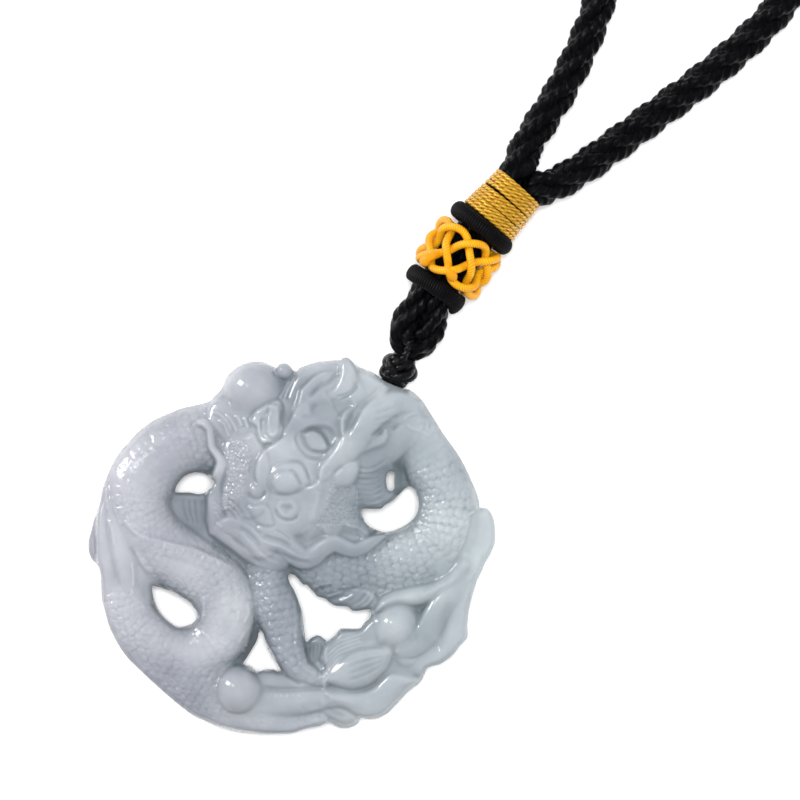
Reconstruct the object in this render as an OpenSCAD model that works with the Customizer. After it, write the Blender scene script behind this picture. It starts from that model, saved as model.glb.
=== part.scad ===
/* [Stone] */
// Width of the carved stone, left to right
stone_w = 58; // [50:1:70]
// Height of the highest carving over the flat back
stone_t = 9.6; // [8.5:0.1:11]
// Height of the sunk ground between the figures
ground_t = 3.6; // [3:0.1:4.2]
// Part of a ridge's half width that its dome rises
dome = 0.8; // [0.5:0.05:1]
// Part of a ridge's half width that is left at the flat back
foot = 0.84; // [0.7:0.02:1]

/* [Pearls] */
// Radius of the large pearl at the top left
pearl_top_r = 4.3; // [3.8:0.1:4.6]
// Radius of the pearl at the bottom
pearl_low_r = 3.4; // [3:0.1:3.6]
// Radius of the pearl held by the right claw
pearl_claw_r = 3.6; // [3.2:0.1:3.8]

/* [Binding] */
// Thickness of the thread that hangs the stone
thread_d = 1; // [0.8:0.05:1.1]
// Gap left between the thread and what it runs through
thread_gap = 0.1; // [0.06:0.02:0.16]
// Height of the binding's axis over the surface
axis_z = 5.8; // [5.8:0.1:6.4]
// Radius of the doubled cord where the binding grips it
grip_r = 3.2; // [3.1:0.05:3.3]
// Outer radius of the lower black ring
lower_ring_r = 4.7; // [4.5:0.1:5]
// Outer radius of the upper black ring
upper_ring_r = 5.2; // [4.8:0.1:5.4]
// Length of each black ring along the cord
ring_l = 2.4; // [1.8:0.1:2.4]
// Length of the woven knot along the cord
knot_l = 7.8; // [7.4:0.1:7.8]
// Thickness of the yellow cord of the woven knot
knot_cord_d = 1.1; // [0.9:0.05:1.15]
// Strands counted along the woven knot
knot_leads = 4; // [4:1:4]
// Loops counted round the woven knot
knot_loops = 7; // [5:2:9]
// Thickness of the gold thread
gold_d = 0.66; // [0.6:0.02:0.66]
// Turns of gold thread
gold_turns = 10; // [8:1:10]
// Outer radius of the gold binding at its lower end
gold_r = 4.5; // [4.3:0.1:4.7]
// How far the gold binding narrows to its upper end
gold_taper = 0.5; // [0:0.05:0.5]

/* [Neck cord] */
// Thickness of the black neck cord
cord_d = 5.1; // [4.8:0.1:5.2]

/* [Hidden] */

// Columns of the carving tables: place in the plan, height of the crest, half the width
X = 0;
Y = 1;
TOP = 2;
WIDE = 3;
drawn_w = 58;
drawn_t = 9.6;
plan = stone_w / drawn_w;
relief = stone_t / drawn_t;
ground = [24.6, 23.8];

// Scaled bodies of the dragon
coil = [[-7.3, 17, 6, 4], [-13, 15.5, 6.6, 4.7], [-17.8, 13.3, 7, 4.9], [-21.6, 9, 7.2, 4.8],
        [-22, 5, 7.2, 4.8], [-19.5, 0.7, 7.2, 4.6], [-15.2, -2.2, 7.4, 4.4], [-10.6, -5.9, 7.4, 4.4],
        [-9.3, -10.1, 7.2, 4.1], [-11.2, -13.8, 6.8, 3.8], [-15.3, -15.3, 6.4, 3.8],
        [-20.2, -13.3, 6.2, 3.9], [-23.7, -9.3, 6, 3.3], [-24.7, -5, 5.6, 2.5], [-24.9, -2, 5.2, 2.1]];
flank = [[14.9, 19.4, 6, 3.5], [18, 15.8, 6.2, 3.6], [20.9, 10.8, 6.4, 3.8], [22.1, 5.5, 6.6, 4.6],
         [20.9, 0.3, 6.6, 4.7], [16.3, -1.9, 6.4, 4.1], [11.5, -3, 6.2, 4.3], [6.6, -3.6, 6, 4.6],
         [2.4, -2.2, 5.6, 3.7], [-0.5, -1.3, 5.2, 2.3]];
tail = [[-20.7, -17.3, 4.2, 1.1], [-17, -20, 5, 1.7], [-12.6, -22.3, 5.6, 2.2], [-7.6, -24, 5.8, 2.4],
        [-2.8, -25.1, 5.6, 1.9], [1.5, -25, 5.4, 1.4], [4.9, -24.1, 5, 1]];

// Legs, and the claw that holds a pearl
foreleg = [[-3.6, -1.3, 5.6, 2.8], [-2.6, -6.2, 6.2, 3.1], [-1.4, -10.7, 6.4, 3.1],
           [-0.1, -15, 6.2, 2.4], [1.8, -18, 6, 1.6], [4.1, -19.6, 5.6, 1]];
shank = [[-5.2, -19, 6, 1.3], [-1.6, -19.3, 5.8, 1.3], [1.6, -20.4, 5, 0.9]];
paw = [[-5.6, -22, 6.4, 1.6], [-0.2, -22, 6.4, 1.6], [4.8, -22.3, 6.2, 1.7]];
palm = [[27.5, 4.5, 6, 1.1], [27.3, 2.6, 6.8, 1.7], [26.5, -0.5, 7.2, 2.1], [24.9, -5, 7.2, 2],
        [23.4, -9.3, 7, 2], [22.9, -12.7, 6.8, 2.1], [20, -15.4, 6.4, 1.9], [17.2, -16.7, 5.8, 1.1]];
long_finger = [[25.2, -2.7, 7.6, 1.6], [21.2, -6.2, 7.6, 1.4], [17.2, -7, 7.8, 1.1],
               [14, -7.9, 8, 1.1], [12.2, -10.1, 7.2, 0.9]];
short_finger = [[22.9, -7, 7.4, 1.3], [19.7, -9.3, 7.4, 1.3], [18.2, -12, 7.2, 1.1],
                [16.7, -14.4, 6.6, 0.7]];

// Leaves of flame and hair round the rim
leaves = [
    [[2.4, -22.3, 5.4, 1.1], [5.2, -23.1, 5.8, 1.7], [7.8, -24.5, 5.6, 1.8], [8.9, -25, 4.8, 0.9]],
    [[5.8, -22.1, 6, 1.7], [10.2, -21.9, 6.4, 2.8], [14, -20.3, 6.2, 2.7], [17.6, -18.6, 5.4, 1.4]],
    [[5.9, -19.3, 6.6, 1.1], [8.3, -18, 7.2, 2.3], [11.5, -16.8, 7, 2.3], [13.8, -15.4, 6.4, 1.1]],
    [[4.5, -18.4, 6.6, 0.9], [5.6, -15.3, 7, 1.6], [8.3, -13.7, 7, 1.7], [11.5, -12, 6.8, 2],
     [13.2, -10.1, 6.4, 1.3]],
    [[4.3, -17.3, 5.6, 1], [3.5, -14.7, 5.6, 1.6], [3.5, -13.4, 5, 0.7]],
    [[-27.1, 5.7, 4.8, 0.7], [-27.6, 2.2, 5.2, 1.1], [-28, -0.5, 5.2, 1], [-27.3, -2, 4.6, 0.6]],
    [[-26.7, 7.8, 6, 0.7], [-26.4, 3.1, 6.8, 1.1], [-25.9, -1.9, 6.6, 1.3], [-25.3, -6.2, 5.8, 1.1]],
    [[-25.3, 6, 6.6, 0.9], [-24.2, 1.3, 7, 1.3], [-23.3, -2.7, 6.8, 1.3], [-23, -6.4, 6, 0.9]]];

// Head of the dragon, from its crown at the top to its snout below
skull = [[8.6, 21.2, 8.2, 3.4], [5.2, 16.6, 8.6, 4.6], [1.5, 11.2, 8.8, 5.4], [-1.4, 6.4, 8.4, 4.6],
         [-3.6, 3, 7.8, 2.8]];
crown = [[2.6, 23.8, 7.2, 2.2], [8.3, 22.9, 7.2, 3.1], [13.4, 20.4, 6.6, 2.8], [16.6, 18.8, 6.2, 2.8]];
snout = [[0.1, 9.8, 9.4, 2.8], [-1.6, 6.7, 9.4, 3.1], [-2.5, 4.1, 8.8, 2.3]];
cheeks = [[[-6.9, 15.2, 7.6, 2], [-6.5, 10.4, 7.8, 2.8], [-7.3, 5.8, 7.2, 2.8]],
          [[6.6, 4.5, 7.2, 2.3], [6.6, 7.4, 7.4, 2.6], [8.3, 10.9, 7.6, 2]]];
brow = [[0.9, 16.1, 9.4, 1.1], [-2.5, 14.4, 9.4, 1.4], [-4.2, 11.2, 9.2, 1.1], [-4.2, 8.4, 8.8, 1]];
mane = [[-12.3, 17.5, 7.6, 0.9], [-10.9, 15.2, 8, 1.1], [-9.9, 12.1, 8.4, 1.3],
        [-10.5, 8.9, 8.4, 1.3], [-10, 6.1, 8, 1.3], [-8.5, 3.5, 7.4, 1.1]];
nape = [[-10.3, 20.1, 6.8, 1.8], [-7.9, 17.5, 7.2, 2.3]];
horns = [[[-0.5, 15.8, 9, 1], [0.5, 19.2, 9.6, 1.3], [1.9, 22.8, 9.6, 1.4], [4.7, 24.8, 9.2, 1.5],
          [7.8, 25.9, 8.6, 1.1]],
         [[8.3, 25.5, 8.6, 1.1], [8.8, 23.2, 8.4, 1.1], [7.2, 21.6, 8, 1]],
         [[4.6, 7.8, 8.8, 1], [4.9, 10.9, 9.4, 1.1], [7.2, 13.4, 9.6, 1.4], [10, 16.9, 9.4, 1.7],
          [13.2, 20.1, 8.8, 2], [16, 21.3, 8, 1.6]],
         [[7.8, 13.8, 9, 1.3], [10.6, 14.9, 8.6, 1.1], [13.5, 16.1, 8, 0.7]]];
ears = [[[-3.6, 14.9, 8.4, 0.7], [-3.6, 17.5, 8.8, 1.3], [-2.2, 20.3, 8.6, 1.1]],
        [[5.8, 9.2, 8.8, 1.1], [7.8, 10.5, 9, 1.9], [9.5, 12.1, 8.6, 0.7]]];
neck_hair = [[8.6, 8.1, 6.8, 3.1], [11.9, 8.7, 6.4, 2.6], [15.2, 10.9, 6, 2], [16, 14.4, 5.8, 2.3]];
whisker = [[-11, 2.1, 7.2, 1], [-7.9, 1, 7.6, 1], [-4.8, -0.6, 7.8, 1], [-1.4, -2.2, 7.6, 1],
           [1.4, -1.3, 7.8, 1], [3.9, 0.4, 7.8, 1], [6.6, 1.3, 7.8, 1], [8.6, 0.3, 7.6, 1],
           [11.5, 0.8, 7.2, 1], [14, -0.2, 6.8, 0.7]];

// Balls of the carving: place, height of the top, radius
pearls = [[-5.3, 22.2, 8.2, pearl_top_r], [-7.4, -20.5, 8, pearl_low_r],
          [14.9, -10.6, 7.8, pearl_claw_r]];
buttons = [[-0.9, 25, 7.6, 1.5], [3.2, 15.1, 9.7, 1.5], [-0.2, 5.5, 9.5, 1.2], [-4.9, 8.1, 8.9, 1],
           [18.3, 17.5, 6.6, 1.2]];

// Outlines of the six holes cut through the stone
holes = [
    [[-16.6, 7.7], [-15.9, 9.4], [-14.5, 10.4], [-12.6, 10.4], [-10.9, 9.4], [-11.3, 8.4],
     [-12.9, 7.5], [-14.7, 7.7]],
    [[-19.9, -6.3], [-19.4, -5.7], [-17, -6.9], [-14.6, -8.3], [-13.4, -10.3], [-14.3, -11.3],
     [-16.2, -11.5], [-18, -10.3], [-19.2, -8.4]],
    [[-4.4, -11.9], [-4.1, -12.2], [-3.3, -14.4], [-1.6, -17.6], [-1.9, -17.9], [-3.6, -17.6],
     [-4.8, -17.8], [-6.6, -17], [-6.7, -16.6], [-5.5, -14.4]],
    [[-0.4, -4.4], [0.2, -4.1], [1.5, -5.4], [2.4, -5.6], [3.3, -7], [5.5, -8.2], [8.1, -8.6],
     [8.9, -9.1], [11.2, -8.9], [11.3, -9.7], [9.8, -11.8], [7.2, -11.9], [5.2, -13.4],
     [3.8, -12.8], [2.1, -13.5], [1.6, -9.7], [1.1, -7.3]],
    [[10, 5.3], [10.3, 5.5], [12.8, 5.5], [14.3, 6.5], [16.7, 8.5], [17.7, 7.7], [18.2, 5.7],
     [17.3, 3.8], [15.7, 2.6], [13.8, 2.1], [11.5, 2.6], [10.2, 3.8]],
    [[14.2, 10.5], [13.6, 9.8], [13.8, 8.5], [14.2, 8], [14.7, 8.5], [14.7, 9.8]]];

// Where the thread enters the stone's upper edge, and the slope of thread and fold in the plan
hang = [13.9, 22.1];
hang_turn = 66;

// The doubled cord above the thread: place, height, half the spacing of its two strands,
// half the width and half the height of a strand
Z = 2;
SPREAD = 3;
HALF_W = 4;
HALF_H = 5;
fold_rows = [[17.6, 30.4, 4.9, 2.1, 1.5, 2.4], [18.1, 31.5, 5.1, 2.05, 1.5, 2.4],
             [19, 33.5, 5.4, 1.75, 1.55, 2.4], [20.5, 36.7, axis_z, 1.5, 1.45, 2.4],
             [23.9, 41.4, axis_z, 1.5, 1.45, 2.4], [26.9, 45.2, axis_z, 1.5, 1.45, 2.4],
             [30.3, 48.8, axis_z, 1.5, 1.45, 2.4], [32.9, 51.6, axis_z, 1.55, 1.45, 2.4]];
bend_steps = 6;
bend_drop = 0.3;

// Where each strand leaves the gold binding: place, height, half width, half height
TALL = 4;
left_turn = 61;
right_turn = 29;
left_strand = [[32.3, 54.2, 5.6, 1.95, 2.4], [33.2, 56.4, 5.1, cord_d / 2, cord_d / 2]];
right_strand = [[35.8, 50.8, 5.6, 1.95, 2.4], [38.2, 51.9, 5.1, cord_d / 2, cord_d / 2]];

// Places of the binding's pieces: place in the plan and slope of the axis there
lower_ring_at = [20.6, 36.9, 56];
knot_at = [23.8, 41.1, 54];
upper_ring_at = [27.1, 45.4, 51];
gold_at = [30.3, 48.8, 48];

// Route of the neck cord, from the left strand all the way round to the right strand
route = [[33.2, 56.4, 5.1], [35.3, 60, 4], [38.4, 65, 3], [41.4, 71, 2.6], [44, 78, 2.6],
         [45, 86, 2.6], [43, 94, 2.6], [36, 101, 2.6], [24, 105, 2.6], [8, 106, 2.6],
         [-10, 104.4, 2.6], [-26, 100, 2.6], [-37, 92.5, 2.6], [-43.5, 84, 2.6], [-46.4, 74, 2.6],
         [-47.4, 60, 2.6], [-47.8, 44, 2.6], [-48, 28, 2.6], [-48, 6, 2.6], [-48, -14, 2.6],
         [-47.5, -28, 2.6], [-45.6, -37.6, 2.6], [-37.5, -41.9, 2.6], [-22, -42, 2.6], [-5, -42, 2.6],
         [15, -42, 2.6], [35, -42, 2.6], [55, -42, 2.6], [68, -41.2, 2.6], [76.5, -37.5, 2.6],
         [82, -29, 2.6], [87, -14, 2.6], [91, 6, 2.6], [93.5, 30, 2.6], [94, 54, 2.6],
         [94, 74, 2.6], [93, 91, 2.6], [90, 100, 2.6], [84, 103, 2.6], [78, 99, 2.6],
         [76, 90, 2.6], [73, 82, 2.6], [68, 75, 2.6], [60, 67.7, 2.6], [52.5, 62, 2.6],
         [46.2, 57.3, 3.2], [42.2, 54.4, 4.2], [38.2, 51.9, 5.1]];

// Point of a smooth curve a part f of the way from b to c
function blend(a, b, c, d, f) =
    0.5 * (2 * b + (c - a) * f + (2 * a - 5 * b + 4 * c - d) * f * f
           + (3 * b - a - 3 * c + d) * f * f * f);

// Rows of a table with n steps between each two
function smooth(rows, n) =
    let (last = len(rows) - 1)
    [for (i = [0:last - 1]) for (j = [0:n - 1])
         blend(rows[max(i - 1, 0)], rows[i], rows[i + 1], rows[min(i + 2, last)], j / n),
     rows[last]];

// The same for a table whose last row joins its first
function smooth_ring(rows, n) =
    let (m = len(rows))
    [for (i = [0:m - 1]) for (j = [0:n - 1])
         blend(rows[(i + m - 1) % m], rows[i], rows[(i + 1) % m], rows[(i + 2) % m], j / n)];

// Direction of the path in the plan at row i
function heading(rows, i) =
    let (a = rows[max(i - 1, 0)], b = rows[min(i + 1, len(rows) - 1)])
    atan2(b.y - a.y, b.x - a.x);

// A point beside a path, given how far ahead, aside and up it lies
function beside(at, turn, ahead, aside, up) =
    [at.x + ahead * cos(turn) - aside * sin(turn), at.y + ahead * sin(turn) + aside * cos(turn), up];

// Upright slice of a carved ridge: a dome over sides that lean in towards the flat back.
// The dome has few facets, and a wide ridge has more of them than a narrow one.
wide_from = 2.5;
wide_step = 36;
narrow_step = 60;
function slice(row, turn, shrink, ahead, step) =
    let (w = row[WIDE] * shrink, shoulder = row[TOP] - dome * row[WIDE], rise = dome * w)
    [for (a = [0:step:180]) beside(row, turn, ahead, w * cos(a), shoulder + rise * sin(a)),
     beside(row, turn, ahead, -w * foot, 0), beside(row, turn, ahead, w * foot, 0)];

// Faces that join n rings of m points, in triangles; a loop joins the last ring to the first
function side_faces(n, m, loop) =
    [for (i = [0:loop ? n - 1 : n - 2]) for (j = [0:m - 1])
         let (a = i * m + j, b = i * m + (j + 1) % m, k = ((i + 1) % n) * m)
         each [[a, k + j, k + (j + 1) % m], [a, k + (j + 1) % m, b]]];

// Triangles over a flat cap
function fan(c) = [for (i = [1:len(c) - 2]) [c[0], c[i], c[i + 1]]];

// Closed skin over rings of points, with flat caps unless it is a loop
module skin(rings, loop = false) {
    n = len(rings);
    m = len(rings[0]);
    first = [for (j = [0:m - 1]) j];
    last = [for (j = [m - 1:-1:0]) (n - 1) * m + j];
    caps = loop ? [] : [first, last];
    polyhedron([for (r = rings) each r], concat(side_faces(n, m, loop), [for (c = caps) each fan(c)]));
}

// A carved ridge along a table's path. Past each end it narrows, so that the end is blunt.
end_shrink = 0.5;
end_reach = 0.8;
module ridge(table) {
    sized = [for (r = table) [r[X] * plan, r[Y] * plan, r[TOP] * relief, r[WIDE] * plan]];
    rows = smooth(sized, 2);
    last = len(rows) - 1;
    from = heading(rows, 0);
    to = heading(rows, last);
    step = max([for (r = rows) r[WIDE]]) > wide_from * plan ? wide_step : narrow_step;
    skin([slice(rows[0], from, end_shrink, -end_reach * rows[0][WIDE], step),
          for (i = [0:last]) slice(rows[i], heading(rows, i), 1, 0, step),
          slice(rows[last], to, end_shrink, end_reach * rows[last][WIDE], step)]);
}

module ball(row) {
    translate([row[X] * plan, row[Y] * plan, row[TOP] * relief - row[WIDE]])
        sphere(row[WIDE], $fn = row[WIDE] > 2 ? 24 : 12);
}

// Stone left under the large pearl, down to the flat back
module pearl_seat(row) {
    lean = 1;
    translate([row[X] * plan, row[Y] * plan, 0])
        cylinder(r1 = row[WIDE] - lean, r2 = row[WIDE], h = ground_t - lean, $fn = 24);
}

// Cross-section of a strand, from a row of place, height, half width and half height
function strand_ring(row, turn) =
    [for (a = [22.5:45:360]) beside(row, turn, 0, row[WIDE] * cos(a), row.z + row[TALL] * sin(a))];

// Strand along a path, with the directions in which its two ends face
module strand(path, first_turn, last_turn) {
    last = len(path) - 1;
    skin([for (i = [0:last])
              strand_ring(path[i], i == 0 ? first_turn : i == last ? last_turn : heading(path, i))]);
}

// Ellipses of the thread's two upright loops: centre ahead of the hole's mouth, height of the
// centre, half the length and half the height
thread_r = thread_d / 2;
eye_loop = [7, 4.6, 1.5 + thread_r + thread_gap, 2.4 + thread_r + thread_gap];
stone_loop = [-0.9, 2.05, 2.2, 1.5];

module upright_loop(loop, r) {
    steps = 20;
    sides = 8;
    at = beside([hang.x * plan, hang.y * plan], hang_turn, loop[0], 0, loop[1]);
    translate(at) rotate([90, 0, hang_turn])
        skin([for (i = [0:steps - 1])
                  let (a = 360 * i / steps)
                  [for (j = [0:sides - 1])
                       let (b = 360 * j / sides, out = r * cos(b))
                       [(loop[2] + out) * cos(a), (loop[3] + out) * sin(a), -r * sin(b)]]], true);
}

module jade_dragon() {
    ridges = concat([coil, flank, tail, foreleg, shank, paw, palm, long_finger, short_finger, skull,
                     crown, snout, brow, mane, nape, neck_hair, whisker], leaves, cheeks, horns, ears);
    color([0.73, 0.77, 0.8]) difference() {
        union() {
            scale([ground.x * plan, ground.y * plan, ground_t]) cylinder(r = 1, h = 1, $fn = 48);
            for (r = ridges) ridge(r);
            for (b = concat(pearls, buttons)) ball(b);
            pearl_seat(pearls[0]);
        }
        for (h = holes) translate([0, 0, -1]) linear_extrude(stone_t + 2)
            polygon([for (p = smooth_ring(h, 3)) p * plan]);
        translate([-stone_w, -stone_w, -stone_t]) cube([2 * stone_w, 2 * stone_w, stone_t]);
        upright_loop(stone_loop, thread_r + thread_gap);
    }
}

// The small knot of the hanging thread, as turns of one strand lying over each other.
// The pull of the knot flattens its turns, so they are a little thicker than the thread.
knot_turns = [[-1.5, 0, 3], [-0.9, 1.2, 3.8], [0.5, 1.3, 4.4], [1.2, 0.1, 4.6], [0.4, -1.3, 4.2],
              [-0.9, -1.2, 3.6], [-1.3, 0.2, 3.2], [0, 0.9, 2.6], [1.3, 1.1, 3], [1.6, -0.9, 3.4],
              [0.2, -0.6, 3], [-1.5, 0, 3]];
knot_ahead = 3.4;
knot_turn_r = thread_r + 0.2;

module hanging_thread() {
    color([0.06, 0.06, 0.07]) union() {
        upright_loop(eye_loop, thread_r);
        upright_loop(stone_loop, thread_r);
        translate(beside([hang.x * plan, hang.y * plan], hang_turn, knot_ahead, 0, 0))
            rotate(hang_turn)
                for (i = [0:len(knot_turns) - 2]) hull() {
                    translate(knot_turns[i]) sphere(knot_turn_r, $fn = 8);
                    translate(knot_turns[i + 1]) sphere(knot_turn_r, $fn = 8);
                }
    }
}

// Everything above the stone moves with the hole when the stone's width is changed
module with_hang() {
    translate([hang.x * (plan - 1), hang.y * (plan - 1), 0]) children();
}

// Path of one strand of the fold, on the side given by 1 or -1, from the bend to the binding
function strand_side(rows, side) =
    [for (i = [0:len(rows) - 1])
         let (r = rows[i], at = beside(r, i == 0 ? hang_turn : heading(rows, i), 0, side * r[SPREAD], r[Z]))
         [at.x, at.y, r[Z], r[HALF_W], r[HALF_H]]];

// Half turn of the cord round the thread, which drops a little in its middle
function bend(row) =
    [for (i = [1:bend_steps - 1])
         let (f = i / bend_steps, a = hang_turn + 90 + 180 * f)
         [row[X] + row[SPREAD] * cos(a), row[Y] + row[SPREAD] * sin(a),
          row[Z] - bend_drop * sin(180 * f), row[HALF_W], row[HALF_H]]];

module cord_fold() {
    up_left = concat(strand_side(fold_rows, 1), left_strand);
    up_right = concat(strand_side(fold_rows, -1), right_strand);
    n = len(up_left);
    down = smooth([for (i = [n - 1:-1:0]) up_left[i]], 2);
    path = concat(down, bend(fold_rows[0]), smooth(up_right, 2));
    color([0.06, 0.06, 0.07]) with_hang() strand(path, left_turn + 180, right_turn);
}

// Lays a piece that is turned about +Z along the binding's axis
module on_axis(place) {
    with_hang() translate([place.x, place.y, axis_z]) rotate([0, 90, place[2]]) children();
}

module cord_ring(outer) {
    half = (outer - grip_r - thread_gap) / 2;
    rotate_extrude($fn = 48) translate([outer - half, 0]) {
        square([2 * half, ring_l - 2 * half], center = true);
        for (s = [-1, 1]) translate([0, s * (ring_l / 2 - half)]) circle(half, $fn = 24);
    }
}

module lower_ring() {
    color([0.07, 0.07, 0.08]) on_axis(lower_ring_at) cord_ring(lower_ring_r);
}

module upper_ring() {
    color([0.07, 0.07, 0.08]) on_axis(upper_ring_at) cord_ring(upper_ring_r);
}

// The woven knot is one strand. Counted in crossings, it swings from end to end once in every
// knot_leads, and passes over and under in turn.
knot_r = knot_cord_d / 2;
over = knot_r + thread_gap / 2;
mid_r = grip_r + thread_gap + knot_r + over;
function unit(v) = v / norm(v);
function knot_point(c) =
    let (part = c - knot_leads * floor(c / knot_leads), swing = floor(c / knot_leads),
         near = min(part, knot_leads - part),
         even = near < 1 ? 0.5 + near / 2 : near,
         phase = part < knot_leads / 2 ? even : knot_leads - even,
         r = mid_r + over * cos(180 * (phase + swing * (knot_leads - 1))),
         turn = 180 * c / knot_loops)
    [r * cos(turn), r * sin(turn), (knot_l / 2 - knot_r) * cos(180 * c / knot_leads)];

module woven_knot() {
    sides = 6;
    per = 3;
    crossings = 2 * knot_leads * knot_loops;
    n = crossings * per;
    color([0.95, 0.66, 0.12]) on_axis(knot_at)
        skin([for (i = [0:n - 1])
                  let (at = knot_point(i / per), t = unit(knot_point((i + 0.2) / per) - at),
                       out = unit(cross(t, cross([at.x, at.y, 0], t))), aside = cross(t, out))
                  [for (j = [0:sides - 1])
                       let (a = 360 * j / sides) at + knot_r * (out * cos(a) + aside * sin(a))]], true);
}

// The gold binding is a sleeve with a round groove between each two turns of thread
module gold_binding() {
    l = gold_turns * gold_d;
    mid = gold_r - gold_d / 2;
    inner = grip_r + thread_gap;
    end = l / 2 - gold_d / 4;
    color([0.85, 0.65, 0.2]) on_axis(gold_at) rotate_extrude($fn = 48) {
        for (i = [0:gold_turns - 1])
            let (f = (i + 0.5) / gold_turns)
            translate([mid - gold_taper * f, l * (f - 0.5)]) circle(gold_d / 2, $fn = 24);
        polygon([[inner, -end], [mid, -end], [mid - gold_taper, end], [inner, end]]);
    }
}

module neck_cord() {
    path = [for (p = smooth(route, 2)) [p.x, p.y, p.z, cord_d / 2, cord_d / 2]];
    color([0.05, 0.05, 0.06]) with_hang() strand(path, left_turn, right_turn + 180);
}

jade_dragon();
hanging_thread();
cord_fold();
lower_ring();
woven_knot();
upper_ring();
gold_binding();
neck_cord();
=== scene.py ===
"""A carved jade dragon that hangs by a thread from a doubled, bound neck cord.

It lies on its flat back, as photographed from straight above. Sizes are in millimetres, in the
frame of the solids: +X right, +Y up in the picture, +Z out of the carved face."""

import bmesh
import bpy
import numpy as np
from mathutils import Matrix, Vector


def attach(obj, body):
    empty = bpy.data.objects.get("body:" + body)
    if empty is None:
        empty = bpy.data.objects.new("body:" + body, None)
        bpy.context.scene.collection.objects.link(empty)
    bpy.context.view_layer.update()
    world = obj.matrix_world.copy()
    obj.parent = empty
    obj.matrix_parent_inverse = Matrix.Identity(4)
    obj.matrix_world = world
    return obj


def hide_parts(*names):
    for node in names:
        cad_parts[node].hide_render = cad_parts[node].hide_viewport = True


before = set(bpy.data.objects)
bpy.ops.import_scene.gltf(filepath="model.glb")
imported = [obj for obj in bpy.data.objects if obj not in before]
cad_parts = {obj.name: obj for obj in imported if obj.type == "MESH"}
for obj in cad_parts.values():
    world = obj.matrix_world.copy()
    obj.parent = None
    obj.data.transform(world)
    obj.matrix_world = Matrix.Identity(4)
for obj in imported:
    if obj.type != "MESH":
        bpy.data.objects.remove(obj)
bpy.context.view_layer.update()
MM = 0.001

# Camera. It hangs far above the middle of the picture and looks straight down, so that the stone's
# rim, the bound cord and the first stretch of both strands show without perspective.
picture_middle = (15.5, 20.9)
picture_side = 114.0  # how much the square picture shows at the rim's height
rim_height = 5.0
stand_off = 700.0
camera = bpy.data.objects.new("camera", bpy.data.cameras.new("camera"))
bpy.context.scene.collection.objects.link(camera)
camera.location = [MM * v for v in (*picture_middle, rim_height + stand_off)]
camera.data.lens = camera.data.sensor_width * stand_off / picture_side
camera.data.clip_start, camera.data.clip_end = 0.05, 10.0
bpy.context.scene.camera = camera


# Neck cord. A thick limp rope of black satin yarn, laid from four plies, each of which is itself
# laid the other way from four small strands. Its closed loop goes round the neck: both ends run
# into the gold binding, and what the picture leaves out takes the plain way round.
cord_d = 5.1
plies = 4
ply_out = 0.55  # distance of a ply's middle from the rope's axis, of the rope's radius
bump_gap = 4.85  # from one bump of the rope's edge to the next, as the picture shows
strand_w = 1.1
strand_turn = 50.0  # degrees between a small strand and its ply
strand_h = 0.3
ply_run = 0.8  # where a ply's own length is measured, of the rope's radius
ring_gap = 0.32  # from one ring of the mesh to the next
ring_points = 44
path_steps = 12  # rows of a smoothed path to each row given
turn_rows = 16  # over so many rows each end of a rope turns to its given slope
lay_unit = 10.0  # mm of a cord to one unit of its lay map
left_turn, right_turn = 61.0, 29.0  # slopes of the two strands where they leave the binding
route = [  # rows of place
    [33.2, 56.4, 5.1], [35.3, 60, 4], [38.4, 65, 3], [41.4, 71, 2.6], [44, 78, 2.6], [45, 86, 2.6],
    [43, 94, 2.6], [36, 101, 2.6], [24, 105, 2.6], [8, 106, 2.6], [-10, 104.4, 2.6],
    [-26, 100, 2.6], [-37, 92.5, 2.6], [-43.5, 84, 2.6], [-46.4, 74, 2.6], [-47.4, 60, 2.6],
    [-47.8, 44, 2.6], [-48, 28, 2.6], [-48, 6, 2.6], [-48, -14, 2.6], [-47.5, -28, 2.6],
    [-45.6, -37.6, 2.6], [-37.5, -41.9, 2.6], [-22, -42, 2.6], [-5, -42, 2.6], [15, -42, 2.6],
    [35, -42, 2.6], [55, -42, 2.6], [68, -41.2, 2.6], [76.5, -37.5, 2.6], [82, -29, 2.6],
    [87, -14, 2.6], [91, 6, 2.6], [93.5, 30, 2.6], [94, 54, 2.6], [94, 74, 2.6], [93, 91, 2.6],
    [90, 100, 2.6], [84, 103, 2.6], [78, 99, 2.6], [76, 90, 2.6], [73, 82, 2.6], [68, 75, 2.6],
    [60, 67.7, 2.6], [52.5, 62, 2.6], [46.2, 57.3, 3.2], [42.2, 54.4, 4.2], [38.2, 51.9, 5.1]]


def smooth(rows, n):
    """Rows of a smooth curve through the given rows, n from each to the next: the Catmull-Rom
    cubic, half of 2b + (c-a)f + (2a-5b+4c-d)f^2 + (3b-a-3c+d)f^3 over four neighbours a to d."""
    rows = np.asarray(rows, float)
    four = np.vstack([rows[:1], rows, rows[-1:]])[:, None]
    a, b, c, d = four[:-3], four[1:-2], four[2:-1], four[3:]
    f = np.arange(n)[:, None] / n
    p = 2 * b + (c - a) * f + (2 * a - 5 * b + 4 * c - d) * f**2 + (3 * b - a - 3 * c + d) * f**3
    return np.vstack([0.5 * p.reshape(-1, rows.shape[1]), rows[-1:]])


def even(rows, gap):
    """The same path with rows an equal gap apart, read off at its running length, and also that
    length at each row."""
    run = np.concatenate([[0], np.cumsum(np.linalg.norm(np.diff(rows[:, :3], axis=0), axis=1))])
    s = np.linspace(0, run[-1], round(run[-1] / gap) + 1)
    return np.stack([np.interp(s, run, column) for column in rows.T], 1), s


def unit(v):
    """Each vector over its length."""
    return v / np.linalg.norm(v, axis=-1, keepdims=True)


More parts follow.
